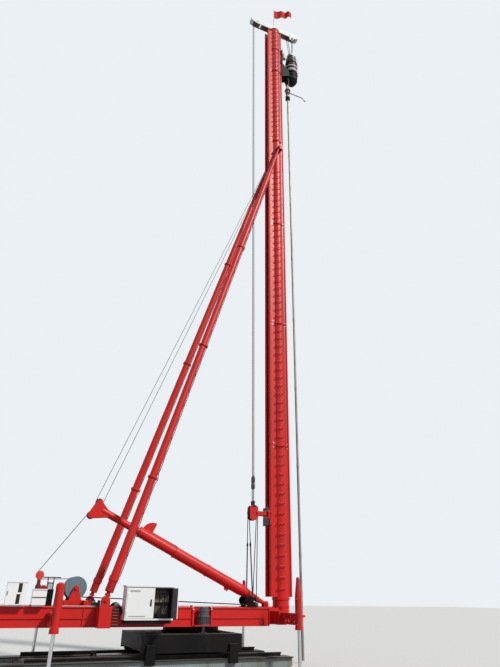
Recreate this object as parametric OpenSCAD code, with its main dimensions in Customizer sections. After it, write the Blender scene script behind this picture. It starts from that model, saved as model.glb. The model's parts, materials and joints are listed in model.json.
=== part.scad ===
// Walking pile driver rig: a tall tube mast on a slewing deck, carried by a long shoe.
// Millimetres. Origin on the ground on the slew axis, +X forward to the mast, +Z up.

/* [Shoe] */
// Length of the long shoe from tip to tip
boat_l = 8000; // [7400:50:8800]
// Slew axis to the shoe's front tip
boat_front = 2750; // [2600:50:3000]
// Width over the side plates of the two pontoons
boat_w = 2400; // [2300:20:2500]
// Width of one pontoon
pontoon_w = 500; // [440:10:560]
// Height of a pontoon
pontoon_h = 300; // [240:10:320]
// Length of the upturned end of a pontoon
pontoon_toe = 160; // [100:10:300]
// How far a pontoon's top flange stands out
boat_lip = 80; // [60:5:90]
// Thickness of a pontoon's top flange
boat_lip_t = 30; // [20:1:36]
// Height of a roller rail over the pontoon
rail_h = 100; // [80:5:120]
// Width of the rail's head
rail_head_w = 120; // [90:5:140]

/* [Chassis] */
// Slew axis forward to the chassis's front face
chassis_front = 1130; // [1100:10:1300]
// Slew axis back to the chassis's rear face
chassis_rear = 1760; // [1700:10:1800]
// Width of the chassis
chassis_w = 2500; // [2450:10:2560]
// Height of the chassis's top plate over the ground
chassis_top = 900; // [880:10:930]
// Depth of the chassis's side plates
chassis_h = 440; // [400:10:450]
// Plate thickness in the chassis
chassis_t = 30; // [20:1:36]
// Radius of a roller
roller_r = 140; // [120:5:145]
// Radius of the roller axles
axle_r = 35; // [28:1:40]
// Distance between the two roller axles
roller_base = 2360; // [2200:20:2400]
// Radius of the walking cylinder's rod
walk_rod_r = 35; // [30:1:40]
// Radius of the walking cylinder's bore
walk_bore_r = 50; // [46:1:55]

/* [Slewing] */
// Module of the slewing gear's teeth
gear_module = 14; // [10:2:16]
// Teeth on a slewing pinion
pinion_teeth = 14; // [13:1:16]
// Distance from a main beam's outer face in to the slewing drive's axis
drive_in = 60; // [56:1:66]
// Distance of the slewing drives' axes forward of the slew axis
drive_x = 60; // [0:10:60]
// Radius of a slewing drive's housing
drive_r = 180; // [160:2:182]
// Height of the slewing ring's lower half
ring_h = 44; // [40:1:50]

/* [Deck] */
// Height of the deck's top over the ground
deck_top = 1550; // [1530:10:1570]
// Depth of the main beams
beam_h = 480; // [460:10:500]
// Width of a main beam
beam_w = 300; // [260:10:320]
// Width over the two main beams
deck_w = 2000; // [1960:10:2060]
// Slew axis forward to the main beams' front end
beam_front = 2120; // [2100:10:2160]
// Slew axis back to the main beams' rear end
beam_rear = 5900; // [5700:20:6100]
// Thickness of a beam's flanges
flange_t = 22; // [16:1:30]
// Length of the bay for the slewing drive
bay_l = 500; // [480:10:540]
// Thickness of the plates at the bay's ends
bay_plate_t = 50; // [30:5:60]
// Length of the electric and hydraulic cabinets' platform at the rear
rear_plate_l = 1180; // [1150:10:1200]

/* [Jacks] */
// Slew axis forward to the front jacks
jack_front_x = 2560; // [2500:10:2570]
// Distance from the centre plane to each front jack
jack_front_y = 2000; // [1980:10:2100]
// Slew axis back to the rear jacks
jack_rear_x = 4130; // [4030:20:4230]
// Distance from the centre plane to each rear jack
jack_y = 2400; // [2300:10:2600]
// Outer radius of a jack's housing
jack_r = 100; // [90:2:110]
// Radius of a jack's rod
jack_rod_r = 45; // [38:1:55]
// Radius of a jack's foot
foot_r = 230; // [190:10:230]

/* [Mast] */
// Slew axis forward to the mast's axis
mast_x = 3000; // [2980:5:3020]
// Height of the mast foot's pin
mast_pin_z = 1300; // [1280:5:1320]
// Height of the lowest mast flange
mast_base_z = 1800; // [1780:10:1830]
// Length of one mast section
section_l = 4950; // [4900:10:5000]
// Height of the mast tube's top
mast_top_z = 29900; // [29700:20:30000]
// Outer radius of the mast tube
mast_r = 265; // [255:1:270]
// Wall of the mast tube
mast_wall = 14; // [8:1:20]
// Outer radius of the mast's flanges
mast_flange_r = 290; // [282:1:295]
// Distance from the mast's axis to the front rails, along X
front_rail_x = 300; // [298:1:310]
// Distance from the mast's axis to the rear rails, along X
rear_rail_x = 420; // [410:1:440]
// Distance from the centre plane to a rail
rail_y = 165; // [160:1:175]
// Radius of a front rail
front_rail_r = 35; // [30:1:36]
// Radius of a rear rail
rear_rail_r = 50; // [40:1:52]
// Spacing of the rungs on the mast
rung_step = 330; // [280:5:360]
// Turn of the row of rungs from the near side towards the rear
rung_turn = 15; // [0:5:15]

/* [Stays] */
// Height of the stays' upper pins
stay_top_z = 21000; // [20900:20:21100]
// Distance from the centre plane to the stays' upper pins
stay_top_y = 400; // [390:5:420]
// Slew axis back to the stays' lower pins
stay_foot_x = 2820; // [2780:10:2880]
// Distance from the centre plane to the stays' lower pins
stay_foot_y = 1300; // [1270:5:1340]
// Height of the stays' lower pins
stay_foot_z = 1720; // [1700:5:1740]
// Outer radius of a stay's tube
stay_r = 115; // [100:1:120]
// Wall of a stay's tube
stay_wall = 10; // [6:1:14]

/* [Raising pole] */
// Slew axis forward to the pole's foot pin
pole_foot_x = 2440; // [2400:5:2450]
// Height of the pole's foot pin
pole_foot_z = 1650; // [1640:5:1670]
// Length of the pole from its foot pin to its head
pole_l = 6120; // [6000:20:6240]
// Slope of the pole over the level
pole_slope = 24.5; // [24:0.5:26]
// Outer radius of the pole's thick tube
pole_r = 150; // [140:1:155]
// Length from the foot pin to the end of the thick tube
pole_thick_l = 4680; // [4620:10:4740]
// Length from the foot pin to the end of the pole's sleeve
pole_sleeve_l = 3420; // [3300:20:3500]
// Outer radius of the pole's thin tube
pole_thin_r = 108; // [100:1:115]

/* [Power head and rod] */
// Slew axis forward to the drill rod
rod_x = 3760; // [3750:5:3780]
// Radius of the drill rod
rod_r = 44; // [38:1:48]
// Height of the rod's lower end at rest
rod_foot_z = 60; // [40:5:100]
// Height of the power head's lowest plate at rest
head_z = 26300; // [26200:20:26400]
// Distance of the drive's axis forward of the rod's axis
head_out = 260; // [200:10:280]
// Radius of the power head's drum
head_r = 320; // [300:5:330]
// Distance from the rod's axis forward to the hose end of the swivel
gooseneck_l = 1050; // [1000:10:1100]

/* [Hoist block] */
// Slew axis forward to the hoist block's centre
block_x = 1985; // [1975:5:1995]
// Radius of the hoist block's sheaves
block_sheave_r = 170; // [160:5:180]
// Height of the hoist block's centre at rest
block_z = 4390; // [4360:10:4420]

/* [Winches] */
// Slew axis back to the rear winch
winch_x = 3490; // [3470:10:3520]
// Height of the rear winch's axis
winch_z = 2010; // [1995:5:2030]
// Radius of the rear winch's flanges
winch_flange_r = 290; // [270:5:300]
// Length of the rear winch's drum between its flanges
winch_l = 620; // [560:10:660]

/* [Cabinets] */
// Slew axis back to the electric cabinet's rear side
cab_rear = 2320; // [2310:5:2330]
// Length of the electric cabinet
cab_l = 1310; // [1280:10:1330]
// Depth of the electric cabinet
cab_d = 460; // [400:10:480]
// Height of the electric cabinet's floor
cab_z = 1250; // [1240:5:1270]
// Height of the electric cabinet
cab_h = 800; // [760:10:820]
// Width of the electric cabinet's right door
cab_door_w = 520; // [500:5:560]

/* [Hidden] */

$fn = 48;

RED = "#d22a1e";
BLACK = "#202124";
GREY = "#6f8196";
STEEL = "#8c8f92";
WHITE = "#e8e8e2";
PALE = "#d9d4c8";
SILVER = "#b9bcc0";

// Clearances: round moving pieces, bores on pins, rods and rails, and faces that seat without touching.
slide_gap = 6;
pin_gap = 0.6;
seat_gap = 0.3;

boat_rear = boat_l - boat_front;
pontoon_y = boat_w / 2 - pontoon_w / 2;
rail_top = pontoon_h + rail_h;
rail_head_t = 32;
rail_web_t = 30;
rail_inset = 260;
rail_rear_inset = 680;
cross_h = 220;
cross_l = 300;
cross_in_y = boat_w / 2 - pontoon_w;
boat_eye_x = -2750;

axle_z = rail_top + roller_r + seat_gap;
roller_w = 110;
chassis_bottom = chassis_top - chassis_h;
chassis_mid = (chassis_front - chassis_rear) / 2;
roller_front_x = chassis_mid + roller_base / 2;
roller_rear_x = chassis_mid - roller_base / 2;
inner_wall_y = cross_in_y + 25;
inner_wall_x = 520;
deck_bottom = deck_top - beam_h;
ring_upper_z = chassis_top + ring_h + pin_gap;
pinion_r = pinion_teeth * gear_module / 2;
ring_teeth = floor((deck_w / 2 - drive_in - pinion_r) * 2 / gear_module);
ring_r = ring_teeth * gear_module / 2;
drive_y = sqrt((ring_r + pinion_r) * (ring_r + pinion_r) - drive_x * drive_x);
beam_in_y = deck_w / 2 - beam_w;

foot_plate_y = mast_r + 75;
foot_plate_t = 50;

stay_dx = mast_x + stay_foot_x;
stay_dy = stay_foot_y - stay_top_y;
stay_dz = stay_top_z - stay_foot_z;
stay_l = sqrt(stay_dx * stay_dx + stay_dy * stay_dy + stay_dz * stay_dz);

cab_front_y = -(deck_w / 2 + 40 + cab_d);

// A tube standing on z = 0.
module tube(r, wall, h) {
    difference() {
        cylinder(r = r, h = h);
        translate([0, 0, -1]) cylinder(r = r - wall, h = h + 2);
    }
}

// A bar between two points, as a round rod.
module rod_between(a, b, r) {
    d = b - a;
    l = norm(d);
    translate(a) rotate([0, acos(d.z / l), atan2(d.y, d.x)]) cylinder(r = r, h = l);
}

// A box from its low corner to its high corner.
module box(lo, hi) {
    translate(lo) cube(hi - lo);
}

// The same shape on both sides of the centre plane.
module both_sides() {
    children();
    mirror([0, 1, 0]) children();
}

// A cylinder along Y, centred on y.
module across(r, l) {
    rotate([90, 0, 0]) cylinder(r = r, h = l, center = true);
}

// A plate in the XZ plane, t thick and centred on y = 0.
module side_plate(t) {
    rotate([90, 0, 0]) linear_extrude(height = t, center = true) children();
}

// A grooved rope sheave along Y: rim radius r, width w, bore b.
module sheave(r, w, b) {
    groove = w * 0.3;
    rotate([90, 0, 0]) rotate_extrude() polygon([
        [b, -w / 2], [r, -w / 2], [r, -w / 2 + w * 0.12], [r - groove, -w * 0.1], [r - groove, w * 0.1],
        [r, w / 2 - w * 0.12], [r, w / 2], [b, w / 2]
    ]);
}

// Shoe

// Height at which a pontoon's end turns under.
toe_h = 70;

function pontoon_outline() = [
    [-boat_rear, pontoon_h], [-boat_rear, toe_h], [-boat_rear + pontoon_toe, 0],
    [boat_front - pontoon_toe, 0], [boat_front, toe_h], [boat_front, pontoon_h]
];

module boat_pontoons() {
    color(STEEL) both_sides() translate([0, pontoon_y, 0]) {
        side_plate(pontoon_w) polygon(pontoon_outline());
        box([-boat_rear, -pontoon_w / 2, pontoon_h - boat_lip_t],
            [boat_front, pontoon_w / 2 + boat_lip, pontoon_h]);
    }
}

// Cross-members of the shoe: [x of the centre].
boat_cross = [-4600, boat_eye_x, 0, 1750];

module boat_crossmembers() {
    color(BLACK) {
        for (x = boat_cross)
            box([x - cross_l / 2, -cross_in_y, 0], [x + cross_l / 2, cross_in_y, cross_h]);
        for (s = [-1, 1])
            difference() {
                box([boat_eye_x - 70, s * 55 - 15, cross_h - 1],
                    [boat_eye_x + 70, s * 55 + 15, walk_z + 60]);
                translate([boat_eye_x, s * 55, walk_z]) across(walk_pin_r + pin_gap, 40);
            }
    }
}

module boat_rails() {
    color(STEEL) both_sides() translate([0, pontoon_y, pontoon_h]) {
        box([-boat_rear + rail_rear_inset, -rail_web_t / 2, 0],
            [boat_front - rail_inset, rail_web_t / 2, rail_h - rail_head_t + 1]);
        box([-boat_rear + rail_rear_inset, -rail_head_w / 2, rail_h - rail_head_t],
            [boat_front - rail_inset, rail_head_w / 2, rail_h]);
    }
}

// Walking cylinder, level under the chassis: its barrel moves with the chassis.
walk_z = 360;
walk_pin_r = 30;
walk_barrel_rear = -900;
walk_barrel_front = 950;
walk_piston_x = 60;

module walk_rod() {
    color(SILVER) {
        difference() {
            union() {
                translate([boat_eye_x, 0, walk_z]) across(55, 74);
                translate([boat_eye_x + 40, 0, walk_z]) rotate([0, 90, 0])
                    cylinder(r = walk_rod_r, h = walk_piston_x - boat_eye_x - 40);
            }
            translate([boat_eye_x, 0, walk_z]) across(walk_pin_r + pin_gap, 100);
        }
        translate([walk_piston_x - 60, 0, walk_z]) rotate([0, 90, 0])
            cylinder(r = walk_bore_r - pin_gap, h = 60);
        translate([boat_eye_x, 0, walk_z]) across(walk_pin_r, 160);
    }
}

// Chassis

module chassis_frame() {
    side_y = chassis_w / 2;
    color(BLACK) difference() {
        union() {
            box([-chassis_rear, -side_y, chassis_top - chassis_t], [chassis_front, side_y, chassis_top]);
            for (x = [-chassis_rear, chassis_front - chassis_t, -inner_wall_x, inner_wall_x])
                box([x, -side_y + 1, chassis_bottom + 60], [x + chassis_t, side_y - 1, chassis_top - 1]);
            both_sides() {
                box([-chassis_rear, side_y - chassis_t, chassis_bottom],
                    [chassis_front, side_y, chassis_top - 1]);
                box([-chassis_rear, inner_wall_y, chassis_bottom],
                    [chassis_front, inner_wall_y + chassis_t, chassis_top - 1]);
            }
        }
        for (x = [roller_front_x, roller_rear_x])
            translate([x, 0, axle_z]) across(axle_r + pin_gap, chassis_w + 10);
        translate([0, 0, chassis_top - chassis_t - 1]) cylinder(r = ring_r - 170, h = chassis_t + 2);
    }
}

// Brackets that hook under the pontoons' top flanges, one at each corner of the chassis.
module roller_brackets() {
    plate_y = boat_w / 2 + boat_lip + 30;
    hook_top = pontoon_h - boat_lip_t - 15;
    color(BLACK) both_sides() for (x = [roller_front_x, roller_rear_x]) {
        box([x - 125, plate_y, hook_top - 60], [x + 125, plate_y + 30, chassis_bottom + 200]);
        box([x - 125, boat_w / 2 + 15, hook_top - 60], [x + 125, plate_y + 1, hook_top]);
        box([x - 125, chassis_w / 2, chassis_bottom + 60], [x + 125, plate_y + 1, chassis_bottom + 200]);
    }
}

module walk_barrel() {
    color(BLACK) {
        difference() {
            translate([walk_barrel_rear, 0, walk_z]) rotate([0, 90, 0])
                cylinder(r = walk_bore_r + 18, h = walk_barrel_front - walk_barrel_rear);
            translate([walk_barrel_rear + 60, 0, walk_z]) rotate([0, 90, 0])
                cylinder(r = walk_bore_r, h = walk_barrel_front - walk_barrel_rear - 100);
            translate([walk_barrel_rear - 1, 0, walk_z]) rotate([0, 90, 0])
                cylinder(r = walk_rod_r + pin_gap, h = 80);
        }
        for (x = [-inner_wall_x + chassis_t / 2, inner_wall_x + chassis_t / 2])
            box([x - 30, -90, walk_z + walk_bore_r + 10], [x + 30, 90, chassis_bottom + 60]);
    }
}

// A gear's outline: involute flanks from root to tip, on the pitch radius teeth * gear_module / 2.
tooth_add = 0.8;
tooth_ded = 1;
tooth_play = 1.6;
pressure = 20;

// Angle of the involute of base radius rb at radius r, in degrees.
function involute(rb, r) = let (c = min(1, rb / r)) tan(acos(c)) * 180 / PI - acos(c);

module gear(teeth, h) {
    rp = teeth * gear_module / 2;
    rb = rp * cos(pressure);
    half = 90 / teeth - tooth_play / 2 / rp * 180 / PI / 2 + involute(rb, rp);
    radii = [rp - tooth_ded * gear_module, max(rb, rp - 0.5 * gear_module), rp + 0.25 * gear_module,
             rp + tooth_add * gear_module];
    linear_extrude(height = h) polygon([
        for (i = [0:teeth - 1]) each concat(
            [for (k = [0:3]) let (a = i * 360 / teeth - half + involute(rb, radii[k]))
                [radii[k] * cos(a), radii[k] * sin(a)]],
            [for (k = [3:-1:0]) let (a = i * 360 / teeth + half - involute(rb, radii[k]))
                [radii[k] * cos(a), radii[k] * sin(a)]])
    ]);
}

gear_z = chassis_top + 6;
gear_h = ring_h - 12;

module slew_ring_lower() {
    color(BLACK) difference() {
        union() {
            translate([0, 0, chassis_top]) cylinder(r = ring_r - gear_module - 8, h = ring_h, $fn = 96);
            translate([0, 0, gear_z]) gear(ring_teeth, gear_h);
        }
        translate([0, 0, chassis_top - 1]) cylinder(r = ring_r - 150, h = ring_h + 2);
    }
}

// Two wheels on one axle, turning between the chassis's side plates.
module roller_pair(x) {
    color(STEEL) translate([x, 0, axle_z]) {
        across(axle_r, chassis_w - 2 * slide_gap);
        for (s = [-1, 1]) translate([0, s * pontoon_y, 0]) difference() {
            across(roller_r, roller_w);
            for (a = [0:60:300]) rotate([0, a, 0]) translate([roller_r * 0.58, 0, 0])
                across(18, roller_w + 2);
        }
    }
}

module rollers_front() { roller_pair(roller_front_x); }
module rollers_rear() { roller_pair(roller_rear_x); }

// Deck

module slew_ring_upper() {
    color(BLACK) difference() {
        translate([0, 0, ring_upper_z])
            cylinder(r = ring_r - gear_module - 8, h = deck_bottom - ring_upper_z, $fn = 96);
        translate([0, 0, ring_upper_z - 1]) cylinder(r = ring_r - 150, h = deck_bottom - ring_upper_z + 2);
    }
}

rib_z = deck_bottom + beam_h * 0.42;
rib_t = 20;
web_in = 30;
knee_x = beam_front - 260;
knee_r = 90;
bay_web_t = 15;

module deck_main_beams() {
    y_mid = deck_w / 2 - beam_w / 2;
    web = beam_w - 2 * web_in;
    color(RED) both_sides() translate([0, y_mid, 0]) {
        difference() {
            union() {
                box([-beam_rear, -web / 2, deck_bottom], [beam_front, web / 2, deck_top]);
                for (z = [deck_bottom, deck_top - flange_t])
                    box([-beam_rear, -beam_w / 2, z], [beam_front, beam_w / 2, z + flange_t]);
                box([-beam_rear + 300, -beam_w / 2, rib_z], [knee_x, beam_w / 2, rib_z + rib_t]);
                translate([knee_x - 0.5, 0, rib_z + rib_t - knee_r]) side_plate(beam_w) difference() {
                    circle(r = knee_r);
                    circle(r = knee_r - rib_t);
                    translate([-2 * knee_r, -knee_r]) square([2 * knee_r, 2 * knee_r]);
                    translate([-knee_r, -2 * knee_r]) square([2 * knee_r, 2 * knee_r]);
                }
                box([knee_x + knee_r - rib_t, -beam_w / 2, deck_bottom + 1],
                    [knee_x + knee_r - 0.5, beam_w / 2, rib_z + rib_t - knee_r + 1]);
                for (x = [-beam_rear, beam_front - 20, -stay_foot_x - stay_beam_w / 2 - 330])
                    box([x, -beam_w / 2, deck_bottom + 1], [x + 20, beam_w / 2, deck_top - 1]);
            }
            box([-bay_l / 2, -web / 2 + bay_web_t, deck_bottom - 1], [bay_l / 2, beam_w, deck_top + 1]);
        }
        for (s = [-1, 1]) translate([s * (bay_l + bay_plate_t) / 2, 0, 0])
            difference() {
                union() {
                    box([-bay_plate_t / 2, -beam_w / 2, deck_bottom + 1],
                        [bay_plate_t / 2, beam_w / 2 + 20, deck_top - 1]);
                    box([-bay_plate_t / 2, -beam_w / 2 + 80, deck_top - 2],
                        [bay_plate_t / 2, beam_w / 2 + 20, deck_top + 30]);
                }
                translate([-bay_plate_t, beam_w / 2 + 21, deck_top - 60]) rotate([45, 0, 0])
                    cube([2 * bay_plate_t, 160, 160]);
            }
    }
}

// Crossbeams between the two main beams: [x of the centre, length along X].
crossbeams = [[-beam_rear + 100, 200], [-jack_rear_x, 240], [-1500, 240], [-600, 200], [600, 200],
    [beam_front - 100, 200]];

module deck_crossbeams() {
    color(RED) for (c = crossbeams) {
        box([c[0] - c[1] / 2, -beam_in_y, deck_bottom],
            [c[0] + c[1] / 2, beam_in_y, deck_bottom + flange_t]);
        box([c[0] - c[1] / 2, -beam_in_y, deck_top - flange_t], [c[0] + c[1] / 2, beam_in_y, deck_top]);
        box([c[0] - c[1] / 4, -beam_in_y, deck_bottom + 1], [c[0] + c[1] / 4, beam_in_y, deck_top - 1]);
    }
}

// Deck plates: [rear end, front end, half width].
rear_plate_x = -beam_rear + 500;
deck_plate_t = 8;
plates = [
    [rear_plate_x, rear_plate_x + rear_plate_l, deck_w / 2],
    [crossbeams[2][0] - 300, crossbeams[4][0] + 900, beam_in_y + 60]
];

module deck_plates() {
    color(RED) for (p = plates)
        box([p[0], -p[2], deck_top], [p[1], p[2], deck_top + deck_plate_t]);
}

stay_beam_w = 320;
stay_ear_t = 30;
stay_ear_gap = 110;
stay_pin_r = 40;
stay_eye_t = 80;
stay_eye_r = 95;

module stay_crossbeam() {
    end_y = stay_foot_y + 200;
    color(RED) {
        box([-stay_foot_x - stay_beam_w / 2, -beam_in_y, deck_bottom + 1],
            [-stay_foot_x + stay_beam_w / 2, beam_in_y, deck_top]);
        both_sides() {
            box([-stay_foot_x - stay_beam_w / 2, deck_w / 2, deck_bottom],
                [-stay_foot_x + stay_beam_w / 2, end_y, deck_top]);
            for (s = [-1, 1]) difference() {
                union() {
                    box([-stay_foot_x - 110,
                        stay_foot_y + s * (stay_ear_gap + stay_ear_t) / 2 - stay_ear_t / 2, deck_top - 1],
                        [-stay_foot_x + 110, stay_foot_y + s * (stay_ear_gap + stay_ear_t) / 2 + stay_ear_t / 2, stay_foot_z]);
                    translate([-stay_foot_x, stay_foot_y + s * (stay_ear_gap + stay_ear_t) / 2,
                        stay_foot_z])
                        across(100, stay_ear_t);
                }
                translate([-stay_foot_x, stay_foot_y, stay_foot_z]) across(stay_pin_r, 400);
            }
            translate([-stay_foot_x, stay_foot_y, stay_foot_z])
                across(stay_pin_r, stay_ear_gap + 2 * stay_ear_t + 40);
        }
    }
}

mast_pin_r = 60;
arm_box_x = 260;
cheek_r = 150;
cheek_low = deck_bottom + 20;

module mast_foot_frame() {
    plate_rear = beam_front;
    color(RED) {
        both_sides() translate([0, foot_plate_y + foot_plate_t / 2, 0]) difference() {
            union() {
                side_plate(foot_plate_t) polygon([
                    [plate_rear, cheek_low], [mast_x + cheek_r, cheek_low], [mast_x + cheek_r, mast_pin_z],
                    [mast_x - cheek_r, mast_pin_z], [mast_x - cheek_r - 130, deck_top],
                        [plate_rear, deck_top]
                ]);
                translate([mast_x, 0, mast_pin_z]) across(cheek_r, foot_plate_t);
                translate([mast_x, foot_plate_t / 2, mast_pin_z]) across(95, 40);
            }
            translate([mast_x, 0, mast_pin_z]) across(mast_pin_r, 200);
        }
        box([jack_front_x - arm_box_x / 2, -deck_w / 2, deck_bottom + 30],
            [jack_front_x + arm_box_x / 2, deck_w / 2, deck_bottom + 390]);
        box([plate_rear, -beam_in_y, deck_bottom], [plate_rear + 25, beam_in_y, deck_top]);
        translate([mast_x, 0, mast_pin_z]) across(mast_pin_r, 2 * (foot_plate_y + foot_plate_t) + 90);
    }
}

// Lattice arm from an inner face out to a jack's housing.
module arm(x, y_in, y_jack) {
    lo = deck_bottom + 60;
    hi = deck_bottom + 360;
    y_out = y_jack - jack_r - seat_gap;
    chord = 70;
    step = (y_out - y_in) / 3;
    rise = hi - lo - chord;
    for (z = [lo, hi - chord])
        box([x - 70, y_in, z], [x + 70, y_out, z + chord]);
    for (i = [0:3]) {
        w = i == 0 || i == 3 ? 60 : 50;
        y = i == 3 ? y_out - w : y_in + i * step;
        box([x - 45, y, lo + 1], [x + 45, y + w, hi - 1]);
    }
    for (i = [0:2]) translate([x, y_in + (i + 0.5) * step, (lo + hi) / 2])
        rotate([(i == 1 ? -1 : 1) * atan2(rise, step - 60), 0, 0])
            cube([40, norm([rise, step - 60]), 40], center = true);
}

module outrigger_arms() {
    color(RED) both_sides() {
        arm(jack_front_x, deck_w / 2, jack_front_y);
        arm(-jack_rear_x, deck_w / 2, jack_y);
    }
}

jack_gland_h = 90;

// Jack housings: [x, y, bottom, shoulder, top].
jacks = [[jack_front_x, jack_front_y, 1010, 1860, 2370], [-jack_rear_x, jack_y, 1010, 2060, 2100]];

module jack_housings() {
    color(RED) both_sides() for (j = jacks) translate([j[0], j[1], 0]) {
        difference() {
            union() {
                translate([0, 0, j[2]]) cylinder(r = jack_r, h = j[3] - j[2]);
                translate([0, 0, j[3] - 1]) cylinder(r1 = jack_r, r2 = jack_r * 0.45, h = j[4] - j[3] + 1);
                translate([0, 0, j[2]]) cylinder(r = jack_r + 12, h = jack_gland_h);
            }
            translate([0, 0, j[2] + jack_gland_h]) cylinder(r = jack_rod_r + slide_gap, h = jack_bore_h);
            translate([0, 0, j[2] - 1]) cylinder(r = jack_rod_r + pin_gap, h = jack_gland_h + 2);
        }
    }
}

// Length of a jack's bore over its gland, and of the rod inside the housing at rest.
jack_bore_h = 740;
jack_in_h = 400;

module jack(j, side) {
    top = j[2] + jack_in_h;
    color(SILVER) translate([j[0], side * j[1], 0]) {
        cylinder(r = foot_r, h = 30);
        translate([0, 0, 29]) cylinder(r1 = foot_r * 0.5, r2 = jack_rod_r + 12, h = 70);
        translate([0, 0, 60]) cylinder(r = jack_rod_r, h = top - 60);
    }
}

module jack_front_left() { jack(jacks[0], 1); }
module jack_front_right() { jack(jacks[0], -1); }
module jack_rear_left() { jack(jacks[1], 1); }
module jack_rear_right() { jack(jacks[1], -1); }

pole_pin_r = 35;
pole_ear_y = 75;
pole_ear_t = 25;

module pole_foot_bracket() {
    color(RED) {
        box([pole_foot_x - 150, -foot_plate_y - foot_plate_t, deck_top],
            [pole_foot_x + 110, foot_plate_y + foot_plate_t, deck_top + 20]);
        both_sides() difference() {
            union() {
                box([pole_foot_x - 80, pole_ear_y, deck_top + 19],
                    [pole_foot_x + 80, pole_ear_y + pole_ear_t, pole_foot_z]);
                translate([pole_foot_x, pole_ear_y + pole_ear_t / 2, pole_foot_z]) across(80, pole_ear_t);
            }
            translate([pole_foot_x, 0, pole_foot_z]) across(pole_pin_r, 300);
        }
        translate([pole_foot_x, 0, pole_foot_z]) across(pole_pin_r, 2 * (pole_ear_y + pole_ear_t) + 30);
    }
}

base_sheave_r = 130;
base_sheave_x = block_x - 205;
rope_y = 225;

module hoist_base_sheaves() {
    z = deck_top + base_sheave_r + 60;
    color(BLACK) for (s = [-1, 1]) translate([base_sheave_x, s * (rope_y + 20), 0]) {
        box([-110, -70, deck_top], [beam_front - 140 - base_sheave_x, 70, deck_top + 20]);
        for (t = [-1, 1])
            box([-50, t * 52 - 8, deck_top + 19], [50, t * 52 + 8, z + 60]);
        translate([0, 0, z]) {
            sheave(base_sheave_r, 80, 25);
            across(25, 130);
        }
    }
}

rod_guide_r = rod_r + 16;
guide_out_x = rod_guide_r + 18;
guide_out_y = rod_guide_r + 18;

// A bracket that runs from the two cheeks of the mast's foot to the rod.
module rod_guide() {
    z = mast_pin_z;
    out_y = foot_plate_y + foot_plate_t;
    bend_x = mast_x + cheek_r + 15;
    color(RED) difference() {
        both_sides() translate([0, 0, z - 30]) linear_extrude(height = 60) polygon([
            [mast_x + 100, out_y], [mast_x + 100, out_y + 40], [bend_x, out_y + 40],
                [rod_x - 60, guide_out_y + 25],
            [rod_x + guide_out_x, guide_out_y], [rod_x + guide_out_x, -1], [rod_x - 95, -1],
                [rod_x - 95, 50], [bend_x, out_y]
        ]);
        translate([rod_x, 0, z - 50]) cylinder(r = rod_guide_r, h = 100);
    }
}

// Slewing drives: upright gearboxes in the bays of the two main beams, on a plate at the bay's foot.
drive_foot_z = deck_bottom + 40;
drive_stack = [[0, 0, 24], [-30, 23, 190], [0, 200, 26], [-26, 225, 130], [-12, 345, 24], [-50, 368, 84]];
drive_fins = 20;
drive_fin_t = 12;
pinion_shaft_r = 45;

module slew_drives() {
    for (s = [-1, 1]) translate([drive_x, s * drive_y, drive_foot_z]) {
        color(GREY) difference() {
            union() {
                for (d = drive_stack) translate([0, 0, d[1]]) cylinder(r = drive_r + d[0], h = d[2]);
                for (a = [0:360 / drive_fins:359]) rotate([0, 0, a])
                    box([drive_r - 40, -drive_fin_t / 2, 20], [drive_r - 4, drive_fin_t / 2, 210]);
            }
            translate([0, 0, -1]) cylinder(r = pinion_shaft_r + pin_gap, h = 121);
        }
        color(RED) difference() {
            box([-bay_l / 2 - drive_x, -drive_r - 4, -30], [bay_l / 2 - drive_x, drive_r + 4, 0]);
            translate([0, 0, -31]) cylinder(r = pinion_shaft_r + slide_gap, h = 40);
        }
    }
}

// The pinion's first tooth space faces the ring's axis, where the ring has a tooth or a space.
module slew_pinion(side) {
    away = atan2(side * drive_y, drive_x);
    ring_phase = away * ring_teeth / 360;
    turn = 180 + away + (ring_phase - floor(ring_phase) + 0.5) * 360 / pinion_teeth;
    color(BLACK) translate([drive_x, side * drive_y, 0]) {
        translate([0, 0, gear_z]) rotate([0, 0, turn]) gear(pinion_teeth, gear_h);
        translate([0, 0, gear_z + 1]) cylinder(r = pinion_shaft_r, h = drive_foot_z + 110 - gear_z);
    }
}

module slew_pinion_left() { slew_pinion(1); }
module slew_pinion_right() { slew_pinion(-1); }

winch_ear_y = winch_l / 2 + 90;
winch_base_h = 150;
winch_base_l = 640;
ear_foot = 172;
ear_top_r = 62;

module rear_winch_base() {
    z = deck_top + winch_base_h;
    color(RED) {
        for (x = [-winch_base_l / 2, winch_base_l / 2 - 120])
            box([-winch_x + x, -beam_in_y - 120, deck_top], [-winch_x + x + 120, beam_in_y + 120, z]);
        both_sides() box([-winch_x - winch_base_l / 2 + 1, winch_ear_y - 60, deck_top + 20],
                         [-winch_x + winch_base_l / 2 - 1, winch_ear_y + 60, z]);
        for (s = [-1, 1]) translate([-winch_x, s * winch_ear_y, 0]) difference() {
            union() {
                side_plate(40) polygon([[-ear_foot, z - 1], [-ear_top_r, winch_z], [ear_top_r, winch_z],
                    [ear_foot, z - 1]]);
                translate([0, 0, winch_z]) across(ear_top_r, 90);
            }
            translate([0, 0, winch_z]) across(winch_shaft_r + pin_gap, 100);
        }
    }
}

winch_shaft_r = 40;

module rear_drum() {
    color(GREY) translate([-winch_x, 0, winch_z]) {
        across(180, winch_l);
        for (s = [-1, 1]) translate([0, s * (winch_l / 2 - 10), 0]) across(winch_flange_r, 20);
        across(winch_shaft_r, 2 * winch_ear_y + 100);
    }
}

// Electric cabinet at the near side

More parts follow.
